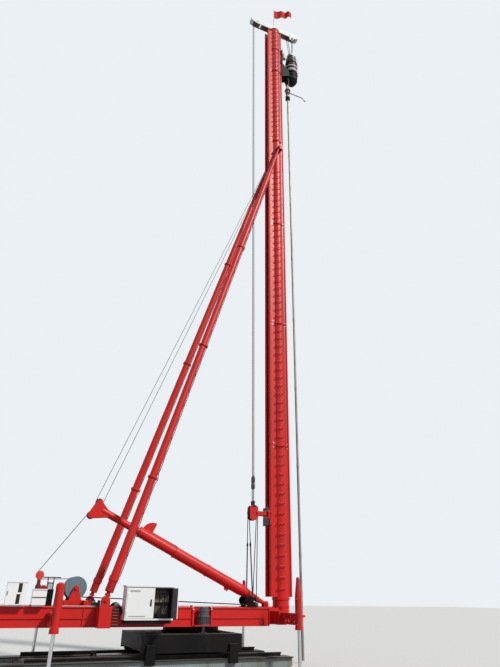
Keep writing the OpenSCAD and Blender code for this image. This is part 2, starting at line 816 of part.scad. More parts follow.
cab_x0 = -cab_rear;
cab_x1 = -cab_rear + cab_l;
cab_y0 = cab_front_y;
cab_y1 = cab_front_y + cab_d;
cab_t = 20;
door_t = 20;
cab_split_x = cab_x1 - cab_t - cab_door_w;
door_gap = 6;
hinge_r = 10;
hinge_out = 12;
knuckle_h = 60;
hinge_y = cab_front_y - hinge_out;
hinge_left_x = cab_x0 + cab_t + door_gap;
hinge_right_x = cab_x1 - cab_t - door_gap;

// Heights of the doors' hinges over the cabinet's floor.
hinge_heights = [160, 580];

// One hinge's knuckle with its leaf towards x; part 0 is the cabinet's lower half, 1 the door's upper half.
module knuckle(x, leaf_x, h, part) {
    z = cab_z + h + part * (knuckle_h / 2 + seat_gap);
    translate([x, hinge_y, z]) cylinder(r = hinge_r, h = knuckle_h / 2, $fn = 24);
    box([min(x, leaf_x), hinge_y - 2, z], [max(x, leaf_x), cab_y0 + 1, z + knuckle_h / 2]);
}

module cabinet_shelf() {
    color(BLACK) {
        box([cab_x0 + 40, cab_y0 + 30, cab_z - 80], [cab_x1 - 40, cab_y0 + 90, cab_z]);
        box([cab_x0 + 40, cab_y1 - 60, cab_z - 80], [cab_x1 - 40, cab_y1, cab_z]);
        for (x = [cab_x0 + 80, cab_x1 - 160])
            box([x, cab_y0 + 31, cab_z - 79], [x + 80, -deck_w / 2 + web_in, cab_z - 1]);
    }
}

module cabinet_body() {
    color(WHITE) difference() {
        union() {
            box([cab_x0, cab_y0, cab_z], [cab_x1, cab_y1, cab_z + cab_h]);
            box([cab_x0 - 25, cab_y0 - 25, cab_z + cab_h - 1],
                [cab_x1 + 25, cab_y1 + 10, cab_z + cab_h + 30]);
        }
        box([cab_x0 + cab_t, cab_y0 - 1, cab_z + 40],
            [cab_x1 - cab_t, cab_y1 - cab_t, cab_z + cab_h - cab_t]);
    }
    color(WHITE) for (h = hinge_heights) {
        knuckle(hinge_left_x, cab_x0 + 2, h, 0);
        knuckle(hinge_right_x, cab_x1 - 2, h, 0);
    }
}

module cabinet_gear() {
    y = cab_y1 - cab_t;
    color(PALE) {
        box([cab_split_x + 40, y - 90, cab_z + 60], [cab_x1 - cab_t - 40, y, cab_z + cab_h - 60]);
        for (i = [0:2])
            box([cab_split_x + 70 + i * 140, y - 190, cab_z + 430],
                [cab_split_x + 180 + i * 140, y - 89, cab_z + 600]);
        for (i = [0:1])
            box([cab_split_x + 90 + i * 200, y - 160, cab_z + 140],
                [cab_split_x + 230 + i * 200, y - 89, cab_z + 330]);
    }
}

module cabinet_door_left() {
    color(WHITE) {
        difference() {
            box([hinge_left_x, cab_y0, cab_z + 40 + door_gap],
                [cab_split_x - door_gap, cab_y0 + door_t, cab_z + cab_h - cab_t - door_gap]);
            box([cab_x0 + 180, cab_y0 - 1, cab_z + 95], [cab_split_x - 180, cab_y0 + 4, cab_z + 105]);
        }
        for (h = hinge_heights) knuckle(hinge_left_x, hinge_left_x + 40, h, 1);
    }
}

// The right door stands open, square to the cabinet, hinged at its outer edge.
module cabinet_door_right() {
    color(WHITE) translate([hinge_right_x, hinge_y, 0]) {
        box([-hinge_out - door_t, -cab_door_w + 2 * door_gap, cab_z + 40 + door_gap],
            [-hinge_out, 0, cab_z + cab_h - cab_t - door_gap]);
        for (h = hinge_heights) translate([0, 0, cab_z + h + knuckle_h / 2 + seat_gap]) {
            cylinder(r = hinge_r, h = knuckle_h / 2, $fn = 24);
            box([-hinge_out - 1, -40, 0], [2, 0, knuckle_h / 2]);
        }
    }
}

// Rear deck

// Rear cabinets on the platform: [rear side from the beams' end, length, depth, height].
rear_boxes = [[620, 480, 440, 510], [1250, 340, 360, 350]];
rear_box_y = deck_w / 2 + 180;
plinth_h = 32;

module rear_cabinets() {
    for (b = rear_boxes) translate([-beam_rear + b[0], -rear_box_y, deck_top + deck_plate_t]) {
        color(WHITE) box([0, 0, plinth_h], [b[1], b[2], plinth_h + b[3]]);
        color(WHITE) box([-12, -12, plinth_h + b[3] - 1], [b[1] + 12, b[2] + 12, plinth_h + b[3] + 20]);
        color(BLACK) box([30, 30, 0], [b[1] - 30, b[2] - 30, plinth_h + 1]);
    }
}

stand_x = -4470;
stand_z = 2316;
stand_sheave_r = 110;

module sheave_stand() {
    color(RED) translate([stand_x, 0, 0]) {
        translate([0, 0, deck_top + deck_plate_t]) cylinder(r = 150, h = 25);
        translate([0, 0, deck_top + deck_plate_t]) cylinder(r1 = 120, r2 = 70, h = 520);
        for (s = [-1, 1])
            box([-45, s * 48 - 10, deck_top + 520], [45, s * 48 + 10, stand_z + 50]);
        translate([0, 0, stand_z]) {
            sheave(stand_sheave_r, 70, 20);
            across(20, 130);
        }
    }
}

console_x = -4080;
console_y = beam_in_y - 280;
guard_z = 2280;
guard_r = 14;

module lever_console() {
    color(BLACK) translate([console_x, console_y, 0]) {
        box([-120, 0, deck_top], [80, 340, deck_top + 420]);
        for (i = [0:3])
            translate([-80 + i * 40, 80 + i * 60, deck_top + 419]) cylinder(r = 9, h = 160, $fn = 16);
        for (x = [-100, 60]) translate([x, 170, deck_top + 419])
            cylinder(r = guard_r, h = guard_z - deck_top - 419, $fn = 16);
        translate([-250, 170, guard_z]) rotate([0, 90, 0]) cylinder(r = guard_r, h = 500, $fn = 16);
    }
}

// Raising pole, from its foot pin up and back to its head

module along_pole(s) {
    translate([pole_foot_x, 0, pole_foot_z]) rotate([0, -90 + pole_slope, 0]) translate([0, 0, s])
        children();
}

pole_sleeve_t = 16;
pole_cone_l = 820;
lug_r = 330;

module raising_pole() {
    color(RED) {
        difference() {
            union() {
                along_pole(0) across(70, 2 * pole_ear_y - 2 * slide_gap);
                along_pole(40) cylinder(r = 60, h = 100);
                along_pole(130) cylinder(r1 = 60, r2 = pole_r + pole_sleeve_t, h = pole_cone_l);
            }
            translate([pole_foot_x, 0, pole_foot_z]) across(pole_pin_r + pin_gap, 300);
        }
        along_pole(129 + pole_cone_l)
            cylinder(r = pole_r + pole_sleeve_t, h = pole_sleeve_l - 129 - pole_cone_l);
        along_pole(pole_sleeve_l - 1) cylinder(r = pole_r, h = pole_thick_l - pole_sleeve_l + 1);
        along_pole(pole_sleeve_l - 40) cylinder(r = pole_r + pole_sleeve_t + 12, h = 40);
        along_pole(2180) cylinder(r = pole_r + pole_sleeve_t + 14, h = 50);
        along_pole(pole_thick_l - 30) cylinder(r = pole_r + 16, h = 40);
        along_pole(pole_thick_l) cylinder(r = pole_thin_r, h = pole_l - pole_neck - pole_thick_l);
        along_pole(pole_thick_l - lug_r - 60) translate([pole_r - 25, 0, 0]) side_plate(60) intersection() {
            circle(r = lug_r);
            square([lug_r, lug_r]);
        }
        along_pole(1310) translate([-pole_r - 90, 0, 0]) side_plate(30) difference() {
            polygon([[0, 40], [100, -20], [100, 200], [0, 130]]);
            translate([30, 85]) circle(r = 14);
        }
    }
    color(SILVER) for (s = [-1, 1])
        along_pole(pole_sleeve_l - 1) translate([pole_r + 12, s * 46, 0])
            cylinder(r = 12, h = pole_thick_l - lug_r - 40 - pole_sleeve_l, $fn = 24);
}

// Length of the head's neck before the pole's end.
pole_neck = 440;

module pole_head() {
    color(RED) along_pole(pole_l) {
        for (s = [-1, 1]) translate([0, s * 80, 0]) side_plate(20)
            hull() {
                translate([160, 60]) circle(r = 75, $fn = 32);
                translate([-270, 90]) circle(r = 90, $fn = 32);
                translate([-20, -330]) circle(r = 90, $fn = 32);
            }
        translate([0, 0, -pole_neck]) cylinder(r = pole_thin_r, h = pole_neck - 150);
        box([-60, -70.5, -151], [60, 70.5, -60]);
    }
    color(BLACK) along_pole(pole_l) {
        translate([160, 0, 60]) { sheave(110, 110, 25); across(25, 200); }
        translate([-270, 0, 90]) { sheave(110, 110, 25); across(25, 200); }
    }
}

// Mast

mast_foot_gap = 12;

// Heights of the mast's flanges.
mast_joints = [for (i = [0:5]) mast_base_z + i * section_l];

// Rings on the mast's foot and the flange of its short top section.
foot_rings = [deck_top + 5, deck_top - 170];
top_joint = mast_base_z + 5 * section_l + 1700;
mast_bottom = deck_bottom + 20;

module mast_tube() {
    color(RED) {
        difference() {
            union() {
                translate([mast_x, 0, mast_bottom]) cylinder(r = mast_r, h = mast_top_z - mast_bottom);
                translate([mast_x, 0, mast_pin_z])
                    across(cheek_r - 10, 2 * foot_plate_y - 2 * mast_foot_gap);
                for (z = concat(mast_joints, [top_joint]))
                    translate([mast_x, 0, z - 30]) cylinder(r = mast_flange_r, h = 60);
                for (z = foot_rings)
                    translate([mast_x, 0, z]) cylinder(r = mast_flange_r - 5, h = 25);
                translate([mast_x, 0, mast_top_z - 30]) cylinder(r = mast_flange_r, h = 30);
            }
            translate([mast_x, 0, mast_base_z])
                cylinder(r = mast_r - mast_wall, h = mast_top_z - mast_base_z - 30);
            translate([mast_x, 0, mast_pin_z]) across(mast_pin_r + pin_gap, 900);
        }
        for (z = [mast_base_z + 300:rung_step:mast_top_z - 300])
            if (abs(z - stay_top_z + 500) > 900) translate([mast_x, 0, 0]) rotate([0, 0, -rung_turn])
                rung(z);
    }
}

rung_w = 260;
rung_out = 60;
rung_t = 18;

module rung(z) {
    y0 = -sqrt(mast_r * mast_r - rung_w * rung_w / 4) + 1;
    y1 = -mast_r - rung_out;
    translate([0, 0, z]) linear_extrude(height = rung_t) polygon([
        [-rung_w / 2, y0], [-rung_w / 2, y1], [rung_w / 2, y1], [rung_w / 2, y0],
        [rung_w / 2 - rung_t, y0], [rung_w / 2 - rung_t, y1 + rung_t],
        [-rung_w / 2 + rung_t, y1 + rung_t], [-rung_w / 2 + rung_t, y0]
    ]);
}

rails_z0 = mast_base_z + 50;
rails_z1 = 29700;

module mast_cut() {
    translate([mast_x, 0, rails_z0 - 1]) cylinder(r = mast_r + seat_gap, h = rails_z1 - rails_z0 + 2);
    for (z = concat(mast_joints, [top_joint]))
        translate([mast_x, 0, z - 31]) cylinder(r = mast_flange_r + seat_gap, h = 62);
}

module mast_rails_front() {
    color(RED) both_sides() difference() {
        union() {
            translate([mast_x + front_rail_x, rail_y, rails_z0])
                cylinder(r = front_rail_r, h = rails_z1 - rails_z0);
            box([mast_x + 180, rail_y - 7, rails_z0], [mast_x + front_rail_x, rail_y + 7, rails_z1]);
        }
        mast_cut();
    }
}

module mast_rails_rear() {
    color(RED) both_sides() difference() {
        union() {
            translate([mast_x - rear_rail_x, rail_y, rails_z0])
                cylinder(r = rear_rail_r, h = rails_z1 - rails_z0);
            box([mast_x - rear_rail_x, rail_y - 9, rails_z0], [mast_x - 180, rail_y + 9, rails_z1]);
        }
        mast_cut();
    }
}

cross_z0 = mast_top_z;
crosshead_h = 330;
crosshead_rear = 1400;
crosshead_front = 1450;
crosshead_w = 300;
top_sheave_r = 200;
rear_sheave_x = block_x + block_sheave_r - top_sheave_r;
head_hang_x = rod_x + 190;
cover_l = 140;
flag_pole_l = 1670;

module mast_crosshead() {
    top = cross_z0 + crosshead_h;
    half_w = crosshead_w / 2;
    color(PALE) {
        for (s = [-1, 1]) translate([0, s * (half_w - 15), 0]) side_plate(30) polygon([
            [mast_x - crosshead_rear, cross_z0 + 120], [mast_x - crosshead_rear + 300, cross_z0],
            [mast_x + crosshead_front - 200, cross_z0], [mast_x + crosshead_front, cross_z0 + 120],
            [mast_x + crosshead_front, top], [mast_x - crosshead_rear, top]
        ]);
        box([rear_sheave_x + top_sheave_r + 50, -half_w + 29, cross_z0],
            [head_hang_x - top_sheave_r - 50, half_w - 29, cross_z0 + 30]);
        for (e = [[mast_x - crosshead_rear, cover_l], [mast_x + crosshead_front, -cover_l]]) {
            box([min(e[0], e[0] + sign(e[1]) * 25), -half_w + 29, cross_z0 + 121],
                [max(e[0], e[0] + sign(e[1]) * 25), half_w - 29, top - 1]);
            side_plate(crosshead_w - 58) polygon([
                [e[0], cross_z0 + 121], [e[0] + e[1], cross_z0 + 121 - cover_l * 0.4],
                [e[0] + e[1], cross_z0 + 141 - cover_l * 0.4], [e[0], cross_z0 + 141]
            ]);
        }
        box([mast_x - 500, -half_w + 29, top - 30], [mast_x + 450, half_w - 29, top]);
        for (x = [mast_x - crosshead_rear, mast_x + crosshead_front - cover_l])
            box([x, -half_w + 29, top - 30], [x + cover_l, half_w - 29, top]);
        translate([mast_x, 0, top - 1]) cylinder(r = 22, h = flag_pole_l, $fn = 24);
        box([head_hang_x - 50, -half_w, cross_z0 - 200], [head_hang_x + 50, -half_w + 30, cross_z0 + 1]);
    }
}

module crosshead_sheaves() {
    color(STEEL) for (x = [rear_sheave_x, head_hang_x])
        translate([x, 0, cross_z0 + crosshead_h / 2]) {
            for (s = [-1, 1]) translate([0, s * 60, 0]) sheave(top_sheave_r, 90, 30);
            across(30, crosshead_w - 60.6);
        }
}

module stay_brackets() {
    color(RED) both_sides() translate([mast_x, stay_top_y, stay_top_z]) difference() {
        union() {
            for (s = [-1, 1]) translate([0, s * (stay_eye_t / 2 + 28), 0]) {
                box([0, -15, -110], [150, 15, 110]);
                across(110, 30);
            }
            box([115, -stay_top_y + 200, -110], [150, stay_eye_t / 2 + 42, 110]);
            across(stay_pin_r, stay_eye_t + 140);
        }
        translate([0, -stay_top_y, -200]) cylinder(r = mast_r + seat_gap, h = 400);
    }
}

// Stays: local z runs from the lower pin to the upper pin.
module along_stay(side, s) {
    translate([-stay_foot_x, side * stay_foot_y, stay_foot_z])
        rotate([0, acos(stay_dz / stay_l), atan2(-side * stay_dy, stay_dx)])
            translate([0, 0, s]) children();
}

// Play round the lower pins: the stays' true arc leaves the linked motion by a few millimetres.
stay_foot_play = 12;
screw_l = 1100;
screw_r = 55;
stay_tube_start = 480;
stay_taper = 2200;
stay_nut_h = 120;
stay_joints = [3450, 8400, 13350];
stay_neck_r = 38;

module stay(side) {
    color(RED) {
        difference() {
            union() {
                along_stay(side, stay_tube_start)
                    cylinder(r = stay_r, h = stay_l - stay_tube_start - stay_taper);
                along_stay(side, stay_tube_start - 1) cylinder(r = stay_r + 18, h = stay_nut_h);
                along_stay(side, stay_l - stay_taper - 1)
                    cylinder(r1 = stay_r, r2 = stay_neck_r, h = stay_taper - stay_eye_r - 60);
                for (s = stay_joints)
                    along_stay(side, s - 30) cylinder(r = stay_r + 32, h = 60);
            }
            along_stay(side, stay_tube_start - 2) cylinder(r = screw_r + pin_gap, h = 200);
            along_stay(side, stay_tube_start + stay_nut_h)
                cylinder(r = stay_r - stay_wall,
                    h = stay_l - stay_taper - stay_tube_start - stay_nut_h - 20);
        }
        difference() {
            union() {
                translate([mast_x, side * stay_top_y, stay_top_z]) across(stay_eye_r, stay_eye_t);
                along_stay(side, stay_l - 260) cylinder(r = stay_neck_r, h = 200);
            }
            translate([mast_x, side * stay_top_y, stay_top_z]) across(stay_pin_r + pin_gap, 200);
        }
    }
}

module stay_screw(side) {
    color(SILVER) difference() {
        union() {
            along_stay(side, 60) cylinder(r = 38, h = 100);
            along_stay(side, 140) cylinder(r = screw_r, h = stay_tube_start + screw_l - 140);
            along_stay(side, 106) cylinder(r = 80, h = 44);
            translate([-stay_foot_x, side * stay_foot_y, stay_foot_z]) across(stay_eye_r, stay_eye_t);
        }
        translate([-stay_foot_x, side * stay_foot_y, stay_foot_z]) across(stay_pin_r + stay_foot_play, 200);
    }
}

module stay_left() { stay(1); }
module stay_right() { stay(-1); }
module stay_screw_left() { stay_screw(1); }
module stay_screw_right() { stay_screw(-1); }

// Power head

// A shoe that wraps a rail and leaves a slot towards the mast; dir is +1 or -1 along X.
module shoe(r, dir, h) {
    difference() {
        box([-r - 12, -r - 26, 0], [r + 12, r + 26, h]);
        translate([0, 0, -1]) cylinder(r = r + pin_gap, h = h + 2);
        translate([dir * 100 - 100, -26, -1]) cube([200, 52, h + 2]);
        translate([dir * (r / 2 + 100) - 100, -100, -1]) cube([200, 200, h + 2]);
    }
}

slide_back_x = mast_x + front_rail_x + front_rail_r + 12;
slide_plate_t = 40;
slide_h = 2100;
shoe_h = 240;
head_mid_x = rod_x + head_out;
gearbox_h = 700;
drum_top = 1800;
chuck_r = 150;
rib_in = 200;
rib_front_x = head_mid_x - sqrt(head_r * head_r - rib_in * rib_in) - 10;
rod_in_h = 590;

module head_slide() {
    color(BLACK) {
        both_sides() for (h = [150, 1000, slide_h - 150 - shoe_h])
            translate([mast_x + front_rail_x, rail_y, head_z + h]) shoe(front_rail_r, -1, shoe_h);
        box([slide_back_x - 1, -250, head_z], [slide_back_x + slide_plate_t, 250, head_z + slide_h]);
        both_sides() side_rib();
    }
    color(WHITE) translate([slide_back_x + slide_plate_t + 205, 0, head_z + drum_top - 60]) {
        box([-206, -60, 0], [60, 60, 20]);
        translate([0, 0, 19]) cylinder(r = 100, h = 330);
    }
}

// A side plate from the slide to the gearbox, sloped at its foot.
module side_rib() {
    translate([0, rib_in + 15, 0]) side_plate(30) polygon([
        [slide_back_x + slide_plate_t - 1, head_z + 60], [rib_front_x, head_z + 250],
        [rib_front_x, head_z + 560], [slide_back_x + slide_plate_t - 1, head_z + 1050]
    ]);
}

module head_gearbox() {
    color(BLACK) difference() {
        union() {
            translate([head_mid_x, 0, head_z]) rotate_extrude() polygon([
                [0, 0], [190, 0], [head_r - 20, 190], [head_r - 20, 420], [head_r, 440], [head_r, 500],
                [head_r - 20, 520], [head_r - 20, gearbox_h - 60], [head_r + 15, gearbox_h - 45],
                [head_r + 15, gearbox_h], [0, gearbox_h]
            ]);
            translate([rod_x, 0, head_z - 160]) cylinder(r = chuck_r - 40, h = 170);
            translate([rod_x, 0, head_z]) cylinder(r = chuck_r, h = gearbox_h - 80);
            box([slide_back_x + slide_plate_t, -rib_in, head_z + 260], [head_mid_x, rib_in, head_z + 560]);
        }
        translate([rod_x, 0, head_z - 161]) cylinder(r = rod_r + pin_gap, h = rod_in_h + 171);
    }
}

// Drum over the gearbox: fins, two plain bands, the brake's dark housing and a round cap.
fin_step = 85;
fin_h = 42;
band_h = 90;
bands = [1230, 1470];

module head_motor() {
    color(RED) translate([head_mid_x, 0, head_z + gearbox_h]) {
        cylinder(r = head_r - 40, h = drum_top - gearbox_h);
        for (h = [20:fin_step:bands[0] - gearbox_h - fin_h])
            translate([0, 0, h]) cylinder(r = head_r - 10, h = fin_h);
    }
    color(PALE) for (b = bands)
        translate([head_mid_x, 0, head_z + b]) cylinder(r = head_r - 5, h = band_h);
    color(BLACK) translate([head_mid_x, 0, head_z + drum_top - 1]) {
        cylinder(r = head_r - 60, h = 40);
        cylinder(r = head_r - 95, h = 360);
        for (a = [45:90:315]) rotate([0, 0, a]) box([140, -35, 0], [head_r - 50, 35, 300]);
    }
    color(SILVER) translate([head_mid_x, 0, head_z + drum_top + 358]) {
        cylinder(r = 165, h = 130);
        translate([0, 0, 60]) sphere(r = 165);
    }
}

swivel_drop = 740;
swivel_z = head_z - swivel_drop;
neck_r = 32;
neck_end_r = 27;
hanger_y = 130;
hanger_r = 12;
neck_level_l = gooseneck_l - 210;

module swivel() {
    color(BLACK) {
        difference() {
            union() {
                translate([rod_x, 0, swivel_z - 120]) cylinder(r = 95, h = 240);
                for (z = [-110, 70]) translate([rod_x, 0, swivel_z + z]) cylinder(r = 112, h = 40);
                translate([rod_x, 0, swivel_z]) rotate([0, 90, 0]) cylinder(r = neck_r, h = neck_level_l);
                translate([rod_x + neck_level_l, 0, swivel_z]) sphere(r = neck_r);
                translate([rod_x + neck_level_l, 0, swivel_z]) rotate([0, 135, 0])
                    cylinder(r = neck_end_r, h = 270);
                translate([rod_x + neck_level_l, 0, swivel_z]) rotate([0, 135, 0]) translate([0, 0, 200])
                    cylinder(r = neck_end_r + 12, h = 60);
                translate([rod_x, 0, swivel_z + 96]) cylinder(r = hanger_y + 22, h = 20);
            }
            translate([rod_x, 0, swivel_z - 200]) cylinder(r = rod_r + pin_gap, h = 400);
        }
        for (s = [-1, 1]) translate([rod_x, s * hanger_y, swivel_z + 115])
            cylinder(r = hanger_r, h = swivel_drop - 115 - seat_gap);
    }
}

// Couplings of the rod, and the collar under the swivel.
coupling_step = 3000;
coupling_h = 160;
collar_drop = 410;
collar_r = 120;

module drill_rod() {
    color(STEEL) {
        translate([rod_x, 0, rod_foot_z]) cylinder(r = rod_r, h = head_z + rod_in_h - rod_foot_z);
        for (z = [rod_foot_z + coupling_step:coupling_step:swivel_z - 600])
            translate([rod_x, 0, z]) cylinder(r = rod_r + 6, h = coupling_h);
        translate([rod_x, 0, swivel_z - collar_drop]) cylinder(r = collar_r, h = 70);
    }
}

// Hoist block

block_plate_t = 20;
block_plate_y = 115;
block_half = 150;
block_half_h = 240;
block_eye_z = 340;
block_eye_y = 60;

module hoist_block() {
    corner = 70;
    color(RED) for (s = [-1, 1])
        translate([block_x, s * (block_plate_y - block_plate_t / 2), block_z]) side_plate(block_plate_t)
            polygon([
            for (c = [[1, 1], [-1, 1], [-1, -1], [1, -1]]) for (k = c[0] * c[1] > 0 ? [0, 1] : [1, 0])
                [c[0] * (block_half - k * corner), c[1] * (block_half_h - (1 - k) * corner)]
        ]);
    color(BLACK) translate([block_x, 0, block_z]) {
        for (s = [-1, 1]) translate([0, s * 47, 0]) sheave(block_sheave_r, 84, 30);
        across(30, 2 * block_plate_y + 10);
    }
    color(BLACK) translate([block_x, 0, block_z]) {
        box([-60, -block_plate_y + 5, block_sheave_r + 20], [60, block_plate_y - 5, block_half_h - 5]);
        for (s = [-1, 1]) {
            box([-40, s * block_eye_y - 12, block_half_h - 6], [40, s * block_eye_y + 12, block_eye_z]);
            difference() {
                translate([0, s * block_eye_y, block_eye_z]) across(52, 24);
                translate([0, s * block_eye_y, block_eye_z]) across(24, 40);
            }
        }
    }
}

slider_low = 380;
slider_high = 200;

module block_slider() {
    arm_x0 = block_x + block_half - 50;
    back_x = mast_x - rear_rail_x - rear_rail_r - 12;
    color(RED) {
        both_sides() for (h = [-slider_low + 10, slider_high - 190])
            translate([mast_x - rear_rail_x, rail_y, block_z + h]) shoe(rear_rail_r, 1, 180);
        box([back_x - 48, -230, block_z - slider_low], [back_x + 1, 230, block_z + slider_high]);
        both_sides() box([arm_x0, block_plate_y, block_z - 70],
            [back_x - 47, block_plate_y + 30, block_z + 50]);
    }
}

boat_pontoons();
boat_crossmembers();
boat_rails();
walk_rod();
chassis_frame();
roller_brackets();
walk_barrel();
slew_ring_lower();
rollers_front();
rollers_rear();
slew_ring_upper();
deck_main_beams();
deck_crossbeams();
deck_plates();
stay_crossbeam();
mast_foot_frame();
outrigger_arms();
jack_housings();
pole_foot_bracket();
hoist_base_sheaves();
rod_guide();
slew_drives();
slew_pinion_left();
slew_pinion_right();
rear_winch_base();
cabinet_shelf();
cabinet_body();
cabinet_gear();
rear_cabinets();
sheave_stand();
lever_console();
jack_front_left();
jack_front_right();
jack_rear_left();
jack_rear_right();
rear_drum();
cabinet_door_left();
cabinet_door_right();
raising_pole();
pole_head();
mast_tube();
mast_rails_front();
mast_rails_rear();
mast_crosshead();
crosshead_sheaves();
stay_brackets();
stay_left();
stay_right();
stay_screw_left();
stay_screw_right();
head_slide();
head_gearbox();
head_motor();
swivel();
drill_rod();
hoist_block();
block_slider();
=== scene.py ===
# %% [markdown]
# # A walking piling rig, dressed over its imported solids
# The rig's frames, tubes and joints come from a CAD model that is already packed with its
# bodies. This lesson adds what a drawing leaves out: worn enamel, wire rope, bolts, rope on
# the drum and a flag. Every new piece is written in the same metres as the model, with its
# place in its own mesh. A piece hung on a body follows it when a joint moves; the ropes and
# boots that reach between two bodies stay fixed where they are drawn.

# %% Load the imported model
import json

import bmesh
import bpy
import numpy as np
from mathutils import Matrix


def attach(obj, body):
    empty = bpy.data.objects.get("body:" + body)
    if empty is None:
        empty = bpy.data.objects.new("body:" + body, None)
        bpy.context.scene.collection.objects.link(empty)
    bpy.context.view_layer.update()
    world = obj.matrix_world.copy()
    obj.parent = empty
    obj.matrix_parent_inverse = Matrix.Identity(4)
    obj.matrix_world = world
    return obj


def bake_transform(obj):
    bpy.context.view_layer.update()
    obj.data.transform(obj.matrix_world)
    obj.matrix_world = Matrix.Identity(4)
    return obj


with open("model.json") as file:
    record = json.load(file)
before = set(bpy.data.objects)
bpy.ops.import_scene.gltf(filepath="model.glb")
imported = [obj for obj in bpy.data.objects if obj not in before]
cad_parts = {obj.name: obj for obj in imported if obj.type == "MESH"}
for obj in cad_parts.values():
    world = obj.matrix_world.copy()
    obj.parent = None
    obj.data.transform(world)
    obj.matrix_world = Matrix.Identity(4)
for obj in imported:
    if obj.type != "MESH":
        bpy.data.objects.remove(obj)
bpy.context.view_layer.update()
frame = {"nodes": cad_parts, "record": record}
nodes = frame["nodes"]

# %% [markdown]
# ## The camera
# The photograph was taken from low down and close by, with the camera tipped back. Its place
# was found by least squares from points of known height, such as the mast's evenly spaced
# flanges. The columns of a camera's matrix are its right, up and backward directions, worked
# out from its turn, tilt and roll.

# %% Camera from its turn, tilt and roll
CAMERA_PLACE = np.array([-5.7244, -17.3196, 1.8283])
CAMERA_TURN = np.radians(23.4728)
CAMERA_TILT = np.radians(26.1474)
CAMERA_ROLL = np.radians(0.7403)
FOCAL_PIXELS = 537.353
PHOTO_HEIGHT_PIXELS = 667.0
SENSOR = 36.0
NEAREST, FARTHEST = 0.5, 500.0


def camera_axes(turn, tilt, roll):
    """Right, up and forward: forward leans up by tilt, and right and up turn about it by roll."""
    forward = np.array([np.sin(turn) * np.cos(tilt), np.cos(turn) * np.cos(tilt), np.sin(tilt)])
    level = np.array([np.cos(turn), -np.sin(turn), 0.0])
    above = np.cross(level, forward)
    right = np.cos(roll) * level + np.sin(roll) * above
    up = -np.sin(roll) * level + np.cos(roll) * above
    return right, up, forward


def placed(x, y, z, at=(0, 0, 0)):
    """The matrix whose columns are an object's own X, Y and Z directions and its place."""
    matrix = np.eye(4)
    matrix[:3] = np.column_stack([x, y, z, at])
    return Matrix(matrix.tolist())


right, up, forward = camera_axes(CAMERA_TURN, CAMERA_TILT, CAMERA_ROLL)
lens = bpy.data.cameras.new("photo_camera")
lens.sensor_fit = "VERTICAL"
lens.sensor_height = SENSOR
lens.lens = SENSOR * FOCAL_PIXELS / PHOTO_HEIGHT_PIXELS
lens.clip_start, lens.clip_end = NEAREST, FARTHEST
camera = bpy.data.objects.new("photo_camera", lens)
scene = bpy.context.scene
scene.collection.objects.link(camera)
camera.matrix_world = placed(right, up, -forward, CAMERA_PLACE)
scene.camera = camera
print("lens", round(lens.lens, 2), "mm")

# %% [markdown]
# ## Daylight
# The rig stands in open sun with a wide sky. The sun is high, behind the camera and to its
# right, so round tubes are brightest right of their middle and the faces that look back
# along the machine are in shade. The world gives the sky's fill. The camera, mirrors and glass
# see a plain pale world, which the Light Path node switches in, so the background's brightness
# never reaches the paint.

# %% Sun and world
SUN_STRENGTH = 3.15
SUN_DIRECTION = np.array([-0.42, 0.63, -0.65])
SUN_COLOUR = (1.0, 0.965, 0.91)
SUN_WIDTH = np.radians(6.0)
FILL_STRENGTH = 0.4
FILL_COLOUR = (0.8, 0.9, 1.0, 1.0)
BACKGROUND = (0.83, 0.87, 0.91, 1.0)

sun_lamp = bpy.data.lights.new("sun", "SUN")
sun_lamp.energy = SUN_STRENGTH
sun_lamp.angle = SUN_WIDTH
sun_lamp.color = SUN_COLOUR
sun = bpy.data.objects.new("sun", sun_lamp)
scene.collection.objects.link(sun)


def unit(vector):
    """The vector divided by its length."""
    return np.asarray(vector) / np.linalg.norm(vector)


def aim_matrix(direction):
    """Local -Z points along direction: Z is its opposite, and X and Y are crossed from it."""
    z = -unit(direction)
    x = unit(np.cross((0, 0, 1), z))
    return placed(x, np.cross(z, x), z)


def seen_ray(tree):
    """1 for rays that the camera, a mirror or glass sends, 0 for the rest: the largest of three."""
    path = tree.nodes.new("ShaderNodeLightPath")
    level = path.outputs["Is Camera Ray"]
    for ray in ("Is Glossy Ray", "Is Transmission Ray"):
        larger = tree.nodes.new("ShaderNodeMath")
        larger.operation = "MAXIMUM"
        tree.links.new(level, larger.inputs[0])
        tree.links.new(path.outputs[ray], larger.inputs[1])
        level = larger.outputs[0]
    return level


sun.matrix_world = aim_matrix(SUN_DIRECTION)

world = bpy.data.worlds.new("daylight")
scene.world = world
world.use_nodes = True
tree = world.node_tree
tree.nodes.clear()
out, pick, fill, seen = [tree.nodes.new(f"ShaderNode{kind}") for kind in (
    "OutputWorld", "MixShader", "Background", "Background")]
fill.inputs["Color"].default_value = FILL_COLOUR
fill.inputs["Strength"].default_value = FILL_STRENGTH
seen.inputs["Color"].default_value = BACKGROUND
tree.links.new(seen_ray(tree), pick.inputs["Fac"])
tree.links.new(fill.outputs[0], pick.inputs[1])
tree.links.new(seen.outputs[0], pick.inputs[2])
tree.links.new(pick.outputs[0], out.inputs["Surface"])
scene.view_settings.view_transform = "Standard"
print("sun", SUN_STRENGTH, "fill", FILL_STRENGTH)

# %% [markdown]
# ## Finishes
# A site machine's enamel is never one colour. The sun chalks it in broad patches, rain draws
# streaks down it, and dust lies on what faces up. So one recipe builds every finish: a base
# colour, a second one mixed in by a slow noise, streaks from a noise stretched upright, dust by
# the surface's own upward direction, and fine bump under a roughness that varies. Where one
# casting carries two colours, a box in the model's metres says which part takes the other.

# %% A recipe for weathered finishes
DUST = (0.34, 0.29, 0.24)
SOFT_EDGE = (0.35, 0.68)
BUMP_STRENGTH = 0.3


